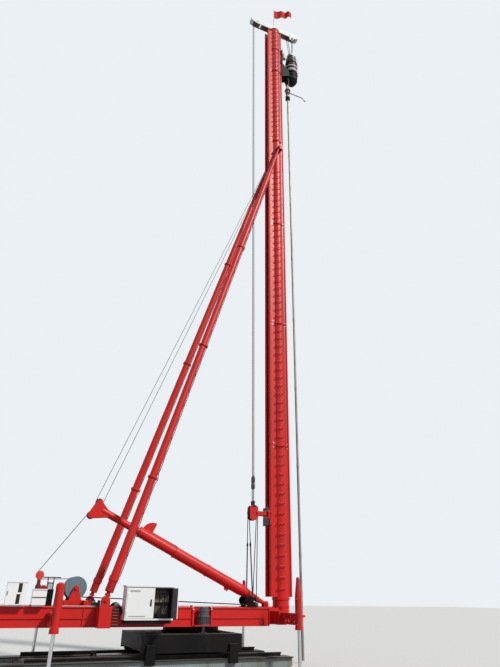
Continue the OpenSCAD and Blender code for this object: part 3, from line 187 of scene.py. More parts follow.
def weathered(name, colour, second, zones=(), metal=0.0, rough=(0.3, 0.5), patch=0.8, streak=0.35,
              streak_colour=(0.1, 0.04, 0.03), dust=0.25, grain=40.0, bump=0.001, chip=None, gloss=0.5):
    """Base = mix(colour, second, slow noise), then zones, streaks, chips where given, and dust."""
    finish = bpy.data.materials.new(name)
    finish.use_nodes = True
    tree = finish.node_tree
    new, link = tree.nodes.new, tree.links.new
    shader = tree.nodes["Principled BSDF"]
    at = new("ShaderNodeTexCoord")

    def feed(socket, value):
        if isinstance(value, tuple):
            socket.default_value = (*value, 1.0)
        elif isinstance(value, float):
            socket.default_value = value
        else:
            link(value, socket)

    def noise(scale, detail, stretch=(1, 1, 1)):
        spread = new("ShaderNodeMapping")
        spread.inputs["Scale"].default_value = stretch
        texture = new("ShaderNodeTexNoise")
        feed(texture.inputs["Scale"], scale)
        feed(texture.inputs["Detail"], detail)
        link(at.outputs["Object"], spread.inputs["Vector"])
        link(spread.outputs[0], texture.inputs["Vector"])
        return texture.outputs["Fac"]

    def shape(value, low, high, to_low=0.0, to_high=1.0):
        ramp = new("ShaderNodeMapRange")
        for socket, number in zip(("From Min", "From Max", "To Min", "To Max"),
                                  (low, high, to_low, to_high)):
            feed(ramp.inputs[socket], number)
        link(value, ramp.inputs["Value"])
        return ramp.outputs["Result"]

    def blend(factor, first, other):
        mix = new("ShaderNodeMix")
        mix.data_type = "RGBA"
        for socket, value in (("Factor", factor), ("A", first), ("B", other)):
            feed(mix.inputs[socket], value)
        return mix.outputs["Result"]

    def math(kind, first, other):
        step = new("ShaderNodeMath")
        step.operation = kind
        feed(step.inputs[0], first)
        feed(step.inputs[1], other)
        return step.outputs[0]

    fine = noise(grain, 6.0)
    tone = blend(shape(noise(patch, 4.0), *SOFT_EDGE), colour, second)
    if zones:
        split = new("ShaderNodeSeparateXYZ")
        link(at.outputs["Object"], split.inputs[0])
        for low, high, zone_colour in zones:
            inside = None
            for axis, (least, most) in enumerate(zip(low, high)):
                for kind, limit in (("GREATER_THAN", least), ("LESS_THAN", most)):
                    if limit is not None:
                        test = math(kind, split.outputs[axis], float(limit))
                        inside = test if inside is None else math("MULTIPLY", inside, test)
            darker = tuple(0.8 * part for part in zone_colour)
            tone = blend(inside, tone, blend(shape(fine, *SOFT_EDGE), zone_colour, darker))
    runs = noise(3.2, 5.0, (1.0, 1.0, 0.07))
    tone = blend(shape(runs, 0.56, 0.78, 0.0, streak), tone, streak_colour)
    if chip:
        tone = blend(shape(noise(11.0, 8.0), 0.7, 0.72), tone, chip)
    if dust:
        level = new("ShaderNodeSeparateXYZ")
        link(at.outputs["Normal"], level.inputs[0])
        lying = shape(level.outputs["Z"], 0.55, 0.98, 0.0, dust)
        tone = blend(math("MULTIPLY", lying, shape(fine, 0.25, 0.7, 0.5, 1.2)), tone, DUST)
    link(tone, shader.inputs["Base Color"])
    link(shape(fine, 0.3, 0.75, *rough), shader.inputs["Roughness"])
    feed(shader.inputs["Metallic"], metal)
    feed(shader.inputs["Specular IOR Level"], gloss)
    relief = new("ShaderNodeBump")
    feed(relief.inputs["Strength"], BUMP_STRENGTH)
    feed(relief.inputs["Distance"], bump)
    link(fine, relief.inputs["Height"])
    link(relief.outputs[0], shader.inputs["Normal"])
    return finish


# %% [markdown]
# ## The rig's own colours
# Vermilion enamel covers the mast, stays and deck, and dull black the chassis and the power
# head. Pinions and rollers are bare and greased. The record names one slot for each of these,
# and a node that carries a second colour gets its own variant under the same slot.

# %% Painted and bare finishes
EVERY = (None, None, None)
RED, BLACK = (0.6, 0.012, 0.009), (0.0045, 0.0045, 0.005)
RED_ENAMEL = dict(
    colour=RED, second=(0.52, 0.016, 0.012), rough=(0.34, 0.52), streak=0.3,
    streak_colour=(0.27, 0.012, 0.01), dust=0.2, grain=26.0, bump=0.0012,
    chip=(0.16, 0.03, 0.025), gloss=0.3)
BLACK_ENAMEL = dict(
    colour=BLACK, second=(0.01, 0.009, 0.0085), rough=(0.42, 0.7), streak=0.22,
    streak_colour=(0.05, 0.042, 0.036), dust=0.3, bump=0.002, gloss=0.1)
GREY_ENAMEL = dict(
    colour=(0.085, 0.086, 0.104), second=(0.12, 0.122, 0.138), rough=(0.32, 0.5), streak=0.3,
    streak_colour=(0.035, 0.03, 0.03), gloss=0.3)
WHITE_ENAMEL = dict(
    colour=(0.88, 0.89, 0.9), second=(0.82, 0.83, 0.83), streak=0.22,
    streak_colour=(0.45, 0.4, 0.34), dust=0.12, bump=0.0006, gloss=0.4)
SILVER_PAINT = dict(
    colour=(0.78, 0.78, 0.79), second=(0.66, 0.66, 0.67), rough=(0.35, 0.55),
    streak_colour=(0.25, 0.15, 0.12), dust=0.15)


def band(low, high, colour):
    """The zone between two heights; None leaves that end open."""
    return (None, None, low), (None, None, high), colour


def variant(name, base, zones=(), **changes):
    """A finish with base's values and the given zones, apart from the changes."""
    return weathered(name, **{**base, "zones": zones, **changes})


enamel = weathered("vermilion_enamel", **RED_ENAMEL)
black_enamel = weathered("dull_black_enamel", **BLACK_ENAMEL)
machine_grey = variant("blue_grey_enamel", GREY_ENAMEL, [band(None, 1.1105, RED)])
cabinet_white = weathered("cabinet_white", **WHITE_ENAMEL)
silver_paint = weathered("silver_white_paint", **SILVER_PAINT)
worn_plate = weathered(
    "worn_shoe_plate", (0.27, 0.31, 0.31), (0.2, 0.215, 0.21), metal=0.15, rough=(0.45, 0.75), streak=0.55,
    streak_colour=(0.15, 0.105, 0.07), dust=0.45, bump=0.004, chip=(0.17, 0.095, 0.05), gloss=0.3,
    zones=[band(0.271, None, (0.012, 0.012, 0.013))])
greased_steel = weathered(
    "greased_steel", (0.06, 0.056, 0.052), (0.11, 0.1, 0.09), metal=0.7, rough=(0.3, 0.55), streak=0.2,
    dust=0.1)
rolled_steel = weathered(
    "rolled_steel_pipe", (0.36, 0.355, 0.33), (0.27, 0.25, 0.215), metal=0.35, rough=(0.38, 0.62), patch=2.2,
    streak=0.45, streak_colour=(0.17, 0.1, 0.06), dust=0.0)
plated_rod = weathered(
    "plated_rod", (0.62, 0.63, 0.65), (0.5, 0.51, 0.53), metal=0.9, rough=(0.16, 0.3), streak=0.25,
    streak_colour=(0.16, 0.12, 0.1), dust=0.05, bump=0.0005)
# The switchgear finish turns near black wherever y is above -1.152: painted shade at the back of the cabinet.
# The valve block on the deck lies in that zone and comes out near black too.
switchgear = weathered(
    "switchgear_cream_shaded_back", (0.26, 0.225, 0.17), (0.12, 0.1, 0.08), rough=(0.35, 0.5), patch=6.0, streak=0.1,
    dust=0.0, bump=0.0005, zones=[((None, -1.152, None), EVERY, (0.03, 0.022, 0.02))])
wire_rope = weathered(
    "wire_rope", (0.02, 0.02, 0.022), (0.042, 0.039, 0.036), rough=(0.5, 0.7), patch=6.0, streak=0.0,
    dust=0.0, grain=90.0, bump=0.002, gloss=0.12)
bolt_steel = weathered(
    "zinc_bolts", (0.5, 0.49, 0.47), (0.3, 0.25, 0.2), metal=0.7, patch=5.0, streak=0.2, dust=0.1,
    bump=0.0005)
rubber = weathered(
    "black_rubber", (0.014, 0.014, 0.015), (0.022, 0.021, 0.02), rough=(0.55, 0.8), patch=4.0, streak=0.1,
    dust=0.15, grain=120.0, bump=0.0004, gloss=0.25)

SLOT_FINISH = {
    "red_paint": enamel, "black_paint": black_enamel, "worn_steel": worn_plate,
    "greased_steel": greased_steel, "grey_steel": rolled_steel, "chrome_rod": plated_rod,
    "grey_paint": machine_grey, "white_paint": cabinet_white, "cream_plastic": switchgear,
    "silver_paint": silver_paint,
}
FINISH_SLOT = {finish.name: slot for slot, finish in SLOT_FINISH.items()}
FINISH_SLOT.update({wire_rope.name: "grey_steel", bolt_steel.name: "grey_steel",
                    rubber.name: "black_paint"})
print("finishes", len(SLOT_FINISH))

# %% [markdown]
# ## Castings that carry two colours
# Some solids are one piece in the model and two colours on the machine: the head's drum has
# pale bands and a silver cap, and the gooseneck is pale past its bend. Others carry painted light:
# the electric cabinet is painted near black inside as painted shade, the crosshead's underside
# is painted near black as painted shade, and the mast's rungs are painted lighter as a painted
# highlight. The boxes are the model's own sizes. A few more take a plain finish of their own;
# the slewing rings' black is painted shade in the gap under the deck.

# %% Variants by place
HEAD_Z = 26.3
HOIST_X, HOIST_Z = 1.985, 4.39
PALE = (0.72, 0.68, 0.66)

NODE_FINISH = {
    "head_motor": variant("drum_enamel", RED_ENAMEL, [
        band(HEAD_Z + 0.8, HEAD_Z + 0.935, PALE), band(HEAD_Z + 1.095, HEAD_Z + 1.19, PALE),
        band(HEAD_Z + 1.19, None, (0.02, 0.012, 0.013)),
        ((4.02, None, HEAD_Z + 1.9), EVERY, (0.3, 0.32, 0.37)),
        band(HEAD_Z + 2.06, None, (0.75, 0.8, 0.9)),
    ], colour=(0.085, 0.01, 0.012), second=(0.055, 0.01, 0.012)),
    "head_slide": variant("slide_enamel", BLACK_ENAMEL, [
        ((3.391, -0.12, HEAD_Z + 1.739), EVERY, (0.9, 0.9, 0.9))]),
    "swivel": variant("swivel_enamel", GREY_ENAMEL, [((3.92, None, None), EVERY, (0.62, 0.66, 0.74))],
                      colour=(0.2, 0.2, 0.19), second=(0.13, 0.125, 0.12)),
    # The rungs' outer bars, past y -0.292, are painted light pink: a painted highlight that lifts their
    # shading on the tube.
    "mast_tube": variant("mast_enamel_rung_highlight", RED_ENAMEL, [(EVERY, (None, -0.292, None), (0.72, 0.09, 0.07))]),
    # Between its side plates and below z 29.935 the crosshead is painted near black: painted shade on its
    # underside.
    "mast_crosshead": variant("crosshead_paint_shaded_underside", SILVER_PAINT, [
        ((1.9, -0.1205, None), (None, 0.1205, 29.935), (0.035, 0.03, 0.03)),
    ], colour=(0.82, 0.82, 0.83), second=(0.7, 0.7, 0.71)),
    # The slewing rings, greased steel in the record, take black enamel: painted shade in the gap between deck
    # and chassis.
    **{f"slew_ring_{end}": variant(f"ring_shade_black_{end}", BLACK_ENAMEL) for end in ("upper", "lower")},
    **{f"stay_screw_{end}": variant(f"screw_enamel_{end}", RED_ENAMEL) for end in ("left", "right")},
    "hoist_block": variant("block_enamel", RED_ENAMEL, [
        ((None, -0.0945, None), (None, 0.0945, None), BLACK), band(HOIST_Z + 0.2345, None, BLACK),
        ((HOIST_X - 0.07, None, HOIST_Z + 0.165), (HOIST_X + 0.07, None, None), BLACK)]),
    "sheave_stand": variant("stand_enamel", RED_ENAMEL, [band(None, 2.205, (0.16, 0.01, 0.01))],
                            colour=(0.66, 0.07, 0.06), second=(0.56, 0.06, 0.05)),
    "block_slider": variant("slider_enamel", RED_ENAMEL, [
        ((None, None, HOIST_Z + 0.1), (2.519, None, None), BLACK),
        (EVERY, (2.519, None, HOIST_Z - 0.16), BLACK)]),
    "pole_head": variant("pole_head_enamel", RED_ENAMEL, [
        ((None, -0.0555, None), (-3.06, 0.0555, None), BLACK)]),
    # The cabinet shell is painted near black inside its box: painted shade in the cabinet's recess.
    "cabinet_body": variant("cabinet_shell_white_shaded_inside", WHITE_ENAMEL, [
        ((-2.301, -1.497, 1.289), (-1.029, -1.059, 2.031), (0.03, 0.022, 0.022))]),
    "cabinet_door_right": variant("open_door_white", WHITE_ENAMEL, [
        (EVERY, (-1.0675, None, None), (0.17, 0.18, 0.19))]),
    "rear_drum": variant("winch_blue_grey", GREY_ENAMEL, colour=(0.15, 0.225, 0.275),
                         second=(0.115, 0.165, 0.2)),
}

for part in frame["record"]["subparts"]:
    mesh = nodes[part["node"]].data
    mesh.materials.clear()
    mesh.materials.append(NODE_FINISH.get(part["node"], SLOT_FINISH[part["material_slot"]]))
print("castings with their own finish", len(NODE_FINISH))

# %% [markdown]
# ## Surfaces from rows
# Nearly every new piece is a loft: rows of points, each row a closed ring, joined by quads. A
# rope is rings along a path, a bolt is hexagons up its axis, and a drum's winding is rings of
# changing radius. Rows that shrink to a point close the ends. As arrays, each shape is one
# formula, and a shape that repeats is the same rows moved to a list of places.

# %% From rows to a closed mesh
CLOSE_DISTANCE = 1e-5
UP = (0, 0, 1)
SIDES = (("left", 1), ("right", -1))


def ring_faces(rows, columns, wrap=True):
    """Quads between neighbouring rows; with wrap the last column joins the first."""
    last = columns if wrap else columns - 1
    r, c = np.meshgrid(np.arange(rows - 1), np.arange(last), indexing="ij")
    n = (c + 1) % columns
    corners = [r * columns + c, r * columns + n, (r + 1) * columns + n, (r + 1) * columns + c]
    return np.stack(corners, -1).reshape(-1, 4)


def close_mesh(mesh):
    """Merges doubled points, drops what has no area, and turns every closed shell's faces outwards."""
    work = bmesh.new()
    work.from_mesh(mesh)
    bmesh.ops.remove_doubles(work, verts=work.verts, dist=CLOSE_DISTANCE)
    bmesh.ops.dissolve_degenerate(work, edges=work.edges, dist=CLOSE_DISTANCE)
    bmesh.ops.recalc_face_normals(work, faces=work.faces)
    work.to_mesh(mesh)
    work.free()


def make_piece(name, lofts, finish, body, wrap=True, smooth=True):
    """One mesh from lofts shaped (copies, rows, columns, 3) or (rows, columns, 3), riding on body."""
    points, faces, offset = [], [], 0
    for loft in lofts:
        loft = np.asarray(loft, float)
        loft = loft[None] if loft.ndim == 3 else loft
        copies, rows, columns = loft.shape[:3]
        starts = offset + np.arange(copies)[:, None, None] * rows * columns
        points.append(loft.reshape(-1, 3))
        faces.append((ring_faces(rows, columns, wrap)[None] + starts).reshape(-1, 4))
        offset += copies * rows * columns
    points, faces = np.concatenate(points), np.concatenate(faces)
    mesh = bpy.data.meshes.new(name)
    mesh.from_pydata(points.tolist(), [], faces.tolist())
    piece = bpy.data.objects.new(name, mesh)
    scene.collection.objects.link(piece)
    close_mesh(mesh)
    mesh.materials.append(finish)
    mesh.polygons.foreach_set("use_smooth", np.full(len(mesh.polygons), smooth))
    if body:
        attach(piece, body)
    print(name, len(mesh.polygons), "faces")
    return piece


def flat_piece(name, lofts, finish, body):
    """A piece whose faces are shaded flat, such as bolts and blocks."""
    make_piece(name, lofts, finish, body, smooth=False)


# %% Tubes, turned shapes and blocks
def frames_along(path, reference):
    """Two directions across a path: normal = tangent x reference, and binormal = tangent x normal."""
    tangent = np.gradient(path, axis=0)
    tangent /= np.linalg.norm(tangent, axis=1, keepdims=True)
    normal = np.cross(tangent, reference)
    normal /= np.linalg.norm(normal, axis=1, keepdims=True)
    return normal, np.cross(tangent, normal)


def tube_rows(path, radius, sides=10, reference=(0, 1, 0)):
    """Rings about each path point: p + r (n cos a + b sin a), with both ends shrunk to a point."""
    radii = np.broadcast_to(radius, len(path))
    normal, binormal = frames_along(path, reference)
    ends = np.r_[0, np.arange(len(path)), len(path) - 1]
    path, normal, binormal, radii = path[ends], normal[ends], binormal[ends], radii[ends].copy()
    radii[[0, -1]] = 0.0
    angle = np.linspace(0, 2 * np.pi, sides, endpoint=False)[:, None]
    ring = normal[:, None] * np.cos(angle) + binormal[:, None] * np.sin(angle)
    return path[:, None] + radii[:, None, None] * ring


def across_axis(axis):
    """Two directions square to an axis and to each other."""
    axis = unit(axis)
    helper = (1, 0, 0) if abs(axis[2]) > 0.9 else UP
    first = unit(np.cross(axis, helper))
    return first, np.cross(axis, first)


def turned_rows(profile, centres, axis, sides=24):
    """Profile rows (radius, height) carried round an axis: c + h a + r (n cos t + b sin t)."""
    profile, centres, axis = np.asarray(profile, float), np.atleast_2d(centres), unit(axis)
    n, b = across_axis(axis)
    t = np.linspace(0, 2 * np.pi, sides, endpoint=False)[:, None]
    ring = n * np.cos(t) + b * np.sin(t)
    rows = profile[:, 1, None, None] * axis + profile[:, 0, None, None] * ring
    return centres[:, None, None] + rows[None]


def circle_places(centre, axis, radius, degrees):
    """Points on a circle about an axis: c + r (n cos t + b sin t) for each angle t."""
    n, b = across_axis(axis)
    t = np.radians(degrees)[:, None]
    return centre + radius * (n * np.cos(t) + b * np.sin(t))


def bolt_rows(places, axis, size):
    """A washer and a six-sided head on each place, standing along axis; size is the head's radius."""
    washer = [(0, -0.001), (1.35 * size, -0.001), (1.35 * size, 0.18 * size), (0, 0.18 * size)]
    head = [(0, 0), (size, 0), (size, 0.75 * size), (0.78 * size, 0.95 * size), (0, 0.95 * size)]
    return [turned_rows(washer, places, axis, 10), turned_rows(head, places, axis, 6)]


def block_rows(low, high, edge):
    """An upright block with cut edges: rings of eight points, drawn in by edge at top and bottom."""
    low, high = np.asarray(low, float), np.asarray(high, float)
    middle, half = (low + high) / 2, (high - low) / 2

    def ring(z, inset):
        x, y = half[0] - inset, half[1] - inset
        flat = [(x, y - edge), (x - edge, y), (edge - x, y), (-x, y - edge),
                (-x, edge - y), (edge - x, -y), (x - edge, -y), (x, edge - y)]
        return np.array([(middle[0] + a, middle[1] + b, z) for a, b in flat])

    top, bottom = np.array([*middle[:2], high[2]]), np.array([*middle[:2], low[2]])
    return np.stack([np.tile(bottom, (8, 1)), ring(low[2], edge), ring(low[2] + edge, 0.0),
                     ring(high[2] - edge, 0.0), ring(high[2], edge), np.tile(top, (8, 1))])


def line(start, end, count=24):
    """count points on the straight line from start to end."""
    t = np.linspace(0, 1, count)[:, None]
    return (1 - t) * start + t * end


def arc(centre, radius, first, last, count):
    """An arc in an upright plane along X: centre + radius (cos a, 0, sin a), a in degrees."""
    a = np.radians(np.linspace(first, last, count))
    return centre + radius * np.stack([np.cos(a), 0 * a, np.sin(a)], -1)


# %% [markdown]
# ## The hoist rope
# Two parts of rope rise from the travelling block to the crosshead, pass over its sheaves and
# come down to the power head. Taut rope is straight between its sheaves, so each run is a thin
# tube. A run that joins two bodies stays fixed where it is drawn, and a run over a sheave rides
# on the body that carries the sheave.

# %% Over the crosshead
ROPE_R = 0.014
TOP_Z = 29.9 + 0.165
TOP_GROOVE = 0.173 + ROPE_R
REAR_TOP_X, FRONT_TOP_X = 1.955, 3.95
ROPE_Y = 0.06
SWIVEL_TOP = HOIST_Z + 1.24


def rope(name, paths, body, other=None, radius=ROPE_R):
    """Tubes along paths riding on body; given other, they stay fixed where drawn and ride on neither."""
    lofts = [tube_rows(path, radius, 8) for path in paths]
    piece = make_piece(name, lofts, wire_rope, None if other else body)
    if other:
        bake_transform(piece)


def over_top(y):
    """Up the rear sheave's back, over it, level to the front sheave, and a quarter turn down its front."""
    rear = arc((REAR_TOP_X, y, TOP_Z), TOP_GROOVE, 180, 90, 12)
    front = arc((FRONT_TOP_X, y, TOP_Z), TOP_GROOVE, 90, 0, 12)
    return np.concatenate([rear, line(rear[-1], front[0], 12)[1:-1], front])


rope("rope_over_crosshead", [over_top(side * ROPE_Y) for side in (-1, 1)], "mast")
for label, side in SIDES:
    foot = (HOIST_X, side * ROPE_Y, SWIVEL_TOP)
    head = (REAR_TOP_X - TOP_GROOVE, side * ROPE_Y, TOP_Z)
    rope(f"block_fall_{label}", [line(foot, head, 60)], "block", "mast")

# %% Down to the power head
HEAD_LUG, LUG_HALF = np.array([4.02, 0, HEAD_Z + 2.42]), 0.07
for label, side in SIDES:
    for run, way in (("fall", 1), ("return", -1)):
        high = (FRONT_TOP_X + way * TOP_GROOVE, side * ROPE_Y, TOP_Z)
        low = (HEAD_LUG[0] + way * LUG_HALF, side * ROPE_Y, HEAD_LUG[2])
        rope(f"head_{run}_{label}", [line(low, high, 40)], "power_head", "mast")

# %% [markdown]
# ## Swivels over the block
# A rope under load wants to turn, so a swivel sits between it and the block's eye: a fork at
# the pin, a slim shank, and a thick barrel with the bearings. All of it is round, so it is one
# profile turned about an upright axis, and so are the sockets at the head's lug.

# %% Swivels and the head's rope sockets
SWIVEL = [(0, -0.045), (0.03, -0.045), (0.034, 0.0), (0.03, 0.045), (0.016, 0.07), (0.014, 0.42),
          (0.026, 0.44), (0.04, 0.47), (0.043, 0.49), (0.043, 0.61), (0.028, 0.63), (0.028, 0.65),
          (0.043, 0.67), (0.043, 0.8), (0.034, 0.84), (0.018, 0.9), (0, 0.9)]
eyes = [(HOIST_X, side * ROPE_Y, HOIST_Z + 0.34) for side in (-1, 1)]
make_piece("block_swivels", [turned_rows(SWIVEL, eyes, UP, 16)], greased_steel, "block")

HEAD_SOCKET = [(0, -0.06), (0.026, -0.06), (0.03, 0.0), (0.024, 0.1), (0.015, 0.17), (0, 0.17)]
sockets = [HEAD_LUG + (dx, side * ROPE_Y, -0.1) for dx in (-LUG_HALF, LUG_HALF) for side in (-1, 1)]
make_piece("head_rope_sockets", [turned_rows(HEAD_SOCKET, sockets, UP, 12)], bolt_steel, "power_head")

# %% [markdown]
# ## Falls between the block and the deck
# From the block's two sheaves the rope comes back down to the deck. The front parts end in
# wedge sockets on the front crossbeam, and the rear ones turn round sheaves on the deck and run
# back to the winch. The rear parts are joined low down to thicker pendants. The deck, the mast
# and the block all move; each part is made in two lengths, split partway up, and both stay
# fixed where they are drawn.

# %% Falls and the run to the winch
BLOCK_GROOVE, BLOCK_Y = 0.145 + ROPE_R, 0.047
BASE_X, BASE_Y, BASE_Z, BASE_GROOVE = 1.78, 0.245, 1.74, 0.106 + ROPE_R
WINCH_X, WINCH_Z, WINDING_R = -3.49, 2.01, 0.232
SOCKET_X, SOCKET_Y, SOCKET_Z = 2.07, 0.14, 1.7
PENDANT_TOP, PENDANT_R = 3.39, 0.021
FERRULE_R, FERRULE_HALF = 0.018, 0.05
FALL_POINTS, FALL_SPLIT = 121, 51


def rear_girth(z):
    """Thick below the joint and thin above it, and one bell curve for the ferrule between."""
    ferrule = FERRULE_R * np.exp(-((z - PENDANT_TOP) / FERRULE_HALF) ** 2)
    return np.where(z < PENDANT_TOP, PENDANT_R, ROPE_R) + ferrule


def fall(name, low, high, girth):
    """A part in two lengths: deck to mast below the split, and mast to block above it."""
    path = line(low, high, FALL_POINTS)
    foot, upper = path[:FALL_SPLIT + 1], path[FALL_SPLIT:]
    rope(f"{name}_foot", [foot], "deck", "mast", girth[:FALL_SPLIT + 1])
    rope(name, [upper], "mast", "block", girth[FALL_SPLIT:])


for label, side in SIDES:
    high = (HOIST_X - BLOCK_GROOVE, side * BLOCK_Y, HOIST_Z)
    low = (BASE_X + BASE_GROOVE, side * BASE_Y, BASE_Z)
    fall(f"rear_fall_{label}", low, high, rear_girth(np.linspace(BASE_Z, HOIST_Z, FALL_POINTS)))
    high = (HOIST_X + BLOCK_GROOVE, side * BLOCK_Y, HOIST_Z)
    low = (SOCKET_X, side * SOCKET_Y, SOCKET_Z)
    fall(f"front_fall_{label}", low, high, np.full(FALL_POINTS, ROPE_R))

turns = [arc((HOIST_X, side * BLOCK_Y, HOIST_Z), BLOCK_GROOVE, 0, 180, 24) for side in (-1, 1)]
rope("rope_over_block", turns, "block")
runs = []
for side in (-1, 1):
    under = arc((BASE_X, side * BASE_Y, BASE_Z), BASE_GROOVE, 0, -92, 14)
    reach = (WINCH_X + 0.01, side * 0.11, WINCH_Z - WINDING_R + 0.012)
    runs.append(np.concatenate([under, line(under[-1], reach)[1:]]))
rope("rope_to_winch", runs, "deck")

# %% Wedge sockets on the crossbeam
WEDGE = [(0, -0.02), (0.022, -0.02), (0.022, 0.02), (0.036, 0.05), (0.036, 0.15), (0.028, 0.2), (0, 0.2)]
WEDGE_PIN = [(0, -0.055), (0.014, -0.055), (0.014, 0.055), (0, 0.055)]
LUG_PLATE = np.array([0.05, 0.009])
feet = [(SOCKET_X, side * SOCKET_Y, 1.66) for side in (-1, 1)]
middles = [np.array([SOCKET_X, side * SOCKET_Y + t]) for side in (-1, 1) for t in (-0.034, 0.034)]
lugs = [block_rows((*middle - LUG_PLATE, 1.549), (*middle + LUG_PLATE, SOCKET_Z), 0.004)
        for middle in middles]
shanks = [turned_rows(WEDGE, feet, UP, 14), turned_rows(WEDGE_PIN, feet, (0, 1, 0), 10)]
make_piece("rope_wedge_sockets", shanks + lugs, greased_steel, "deck")

# %% [markdown]
# ## Rope on the winch drum
# Wound rope lies in even turns, so the winding's outside is a row of half rounds. Turned about
# the drum's axis, the radius goes up and down once a turn: r = core + rope |sin|. The helix is
# too shallow to see, so each turn is a plain ring.

# %% The winding
TURNS, TURN_STEPS = 21, 6
HUB_R, CORE_R, WIRE_BULGE, HALF_WIDTH = 0.1795, 0.205, 0.027, 0.288
u = np.linspace(0, TURNS, TURNS * TURN_STEPS + 1)
bulge = CORE_R + WIRE_BULGE * np.abs(np.sin(np.pi * u)) ** 0.7
winding = np.stack([bulge, -HALF_WIDTH + 2 * HALF_WIDTH * u / TURNS], -1)
winding = np.concatenate([[(HUB_R, -HALF_WIDTH)], winding, [(HUB_R, HALF_WIDTH), (HUB_R, -HALF_WIDTH)]])
make_piece("winch_winding", [turned_rows(winding, (WINCH_X, 0, WINCH_Z), (0, 1, 0), 40)], wire_rope,
           "winch_drum")

# %% [markdown]
# ## Pendants of the raising pole
# Two pendants hold the pole's head to the stays' brackets on the mast. A third part of rope
# leaves the head's lower sheave, turns behind the sheave on the stand and goes to the winch.
# Its straight run touches both sheaves a quarter turn past its own slope.

# %% Pendants, and the rope by way of the stand
POLE_HEAD_TOP, POLE_HEAD_LOW = np.array([-3.117, 0, 4.358]), np.array([-3.323, 0, 3.98])
PENDANT_MIDDLE, PENDANT_STEP = np.array([0.012, 0, 0.034]), np.array([-0.098, 0.045, 0.036])
MAST_X, BRACKET_Y, BRACKET_Z = 3.0, 0.303, 21.0
STAND = np.array([-4.47, 0, 2.316])
THIN_ROPE_R, STAND_ROPE_R, THIMBLE_R, THIMBLE_WIRE_R = 0.008, 0.009, 0.055, 0.011
POLE_GROOVE, STAND_GROOVE = 0.09, 0.101

pendants, thimbles = [], []
for side in (-1, 1):
    low = POLE_HEAD_TOP + PENDANT_MIDDLE + side * PENDANT_STEP
    pendants.append(line(low, (MAST_X - 0.045, side * BRACKET_Y, BRACKET_Z - 0.05), 60))
    thimbles.append(arc((MAST_X, side * BRACKET_Y, BRACKET_Z), THIMBLE_R, 0, 360, 25))
rope("pole_pendants", pendants, "mast", radius=THIN_ROPE_R)
rope("pendant_thimbles", thimbles, "mast", radius=THIMBLE_WIRE_R)

rise = POLE_HEAD_LOW - STAND
lean = np.degrees(np.arctan2(rise[2], rise[0])) + 90.0
leave = arc(POLE_HEAD_LOW, POLE_GROOVE, lean - 70, lean, 10)
meet = arc(STAND, STAND_GROOVE, lean, 262, 14)
to_drum = line(meet[-1], (WINCH_X - 0.03, 0.0, WINCH_Z + WINDING_R), 16)
rope("stand_rope_upper", [line(meet[0], leave[-1], 30)], "deck", "pole", STAND_ROPE_R)
rope("rope_on_pole_head", [leave], "pole", radius=STAND_ROPE_R)
rope("stand_rope_lower", [np.concatenate([meet, to_drum[1:]])], "deck", radius=STAND_ROPE_R)

# %% [markdown]
# ## Bolts
# Flanges are what the eye reads as scale. Each bolt is a washer and a six-sided head, some
# thirty faces, laid out on circles by one array. The mast's bolts miss the four places where
# the rails' webs meet the tube, and each flange has a row on both sides.

# %% Mast flanges
MAST_JOINTS = [1.8 + 4.95 * i for i in range(6)] + [28.25]
BOLT_CIRCLE, BOLT_SIZE, FLANGE_HALF = 0.2778, 0.0095, 0.03
ANGLES = np.arange(10, 360, 20)

lofts = []
for way in (1, -1):
    places = [circle_places((MAST_X, 0, z + way * FLANGE_HALF), UP, BOLT_CIRCLE, ANGLES) for z in MAST_JOINTS]
    lofts += bolt_rows(np.concatenate(places), (0, 0, way), BOLT_SIZE)
flat_piece("mast_flange_bolts", lofts, enamel, "mast")

# %% Splice bolts beside the rails
SPLICE_UP = 0.078
SPLICES = ((2.69, 0.174, 0.026), (3.2605, 0.172, 0.0125))
lofts = []
for side in (-1, 1):
    for x, y, size in SPLICES:
        places = [(x, side * y, z + up) for z in MAST_JOINTS[1:6] for up in (-SPLICE_UP, SPLICE_UP)]
        lofts += bolt_rows(places, (0, side, 0), size)
flat_piece("rail_splice_bolts", lofts, bolt_steel, "mast")

# %% Stay flanges, with each stay's own axis
STAY_FOOT, STAY_TOP = np.array([-2.82, 1.3, 1.72]), np.array([MAST_X, 0.4, BRACKET_Z])
STAY_JOINTS, STAY_CIRCLE = [3.45, 8.4, 13.35], 0.131
STAYS = {label: (STAY_FOOT * (1, side, 1), unit(STAY_TOP - STAY_FOOT) * (1, side, 1))
         for label, side in SIDES}

for label, (foot, axis) in STAYS.items():
    lofts = []
    for joint in STAY_JOINTS:
        for way in (-1, 1):
            face = foot + axis * (joint + FLANGE_HALF * way)
            ring = circle_places(face, axis, STAY_CIRCLE, np.arange(0, 360, 30))
            lofts += bolt_rows(ring, way * axis, BOLT_SIZE)
    flat_piece(f"stay_flange_bolts_{label}", lofts, enamel, f"stay_{label[0]}")

# %% Slewing drives: each ring's height, radius, count and size
DRIVE_X, DRIVE_Y, DRIVE_FOOT = 0.06, 0.936079, 1.11
DRIVE_RINGS = ((0.226, 0.167, 16, 0.009), (0.369, 0.149, 12, 0.01))
lofts = []
for side in (-1, 1):
    for up, radius, count, size in DRIVE_RINGS:
        centre = (DRIVE_X, side * DRIVE_Y, DRIVE_FOOT + up)
        lofts += bolt_rows(circle_places(centre, UP, radius, np.arange(count) * 360 / count), UP, size)
flat_piece("drive_bolts", lofts, bolt_steel, "deck")
print("bolt circles", len(MAST_JOINTS) * 2 + len(STAY_JOINTS) * 4 + 4)

# %% [markdown]
# ## Pins and their caps
# A pin that carries a mast or a stay is kept in place by a cap and a small plate that sits in
# a slot. Caps are turned profiles on the pin's end, and each has its own ring of bolts.

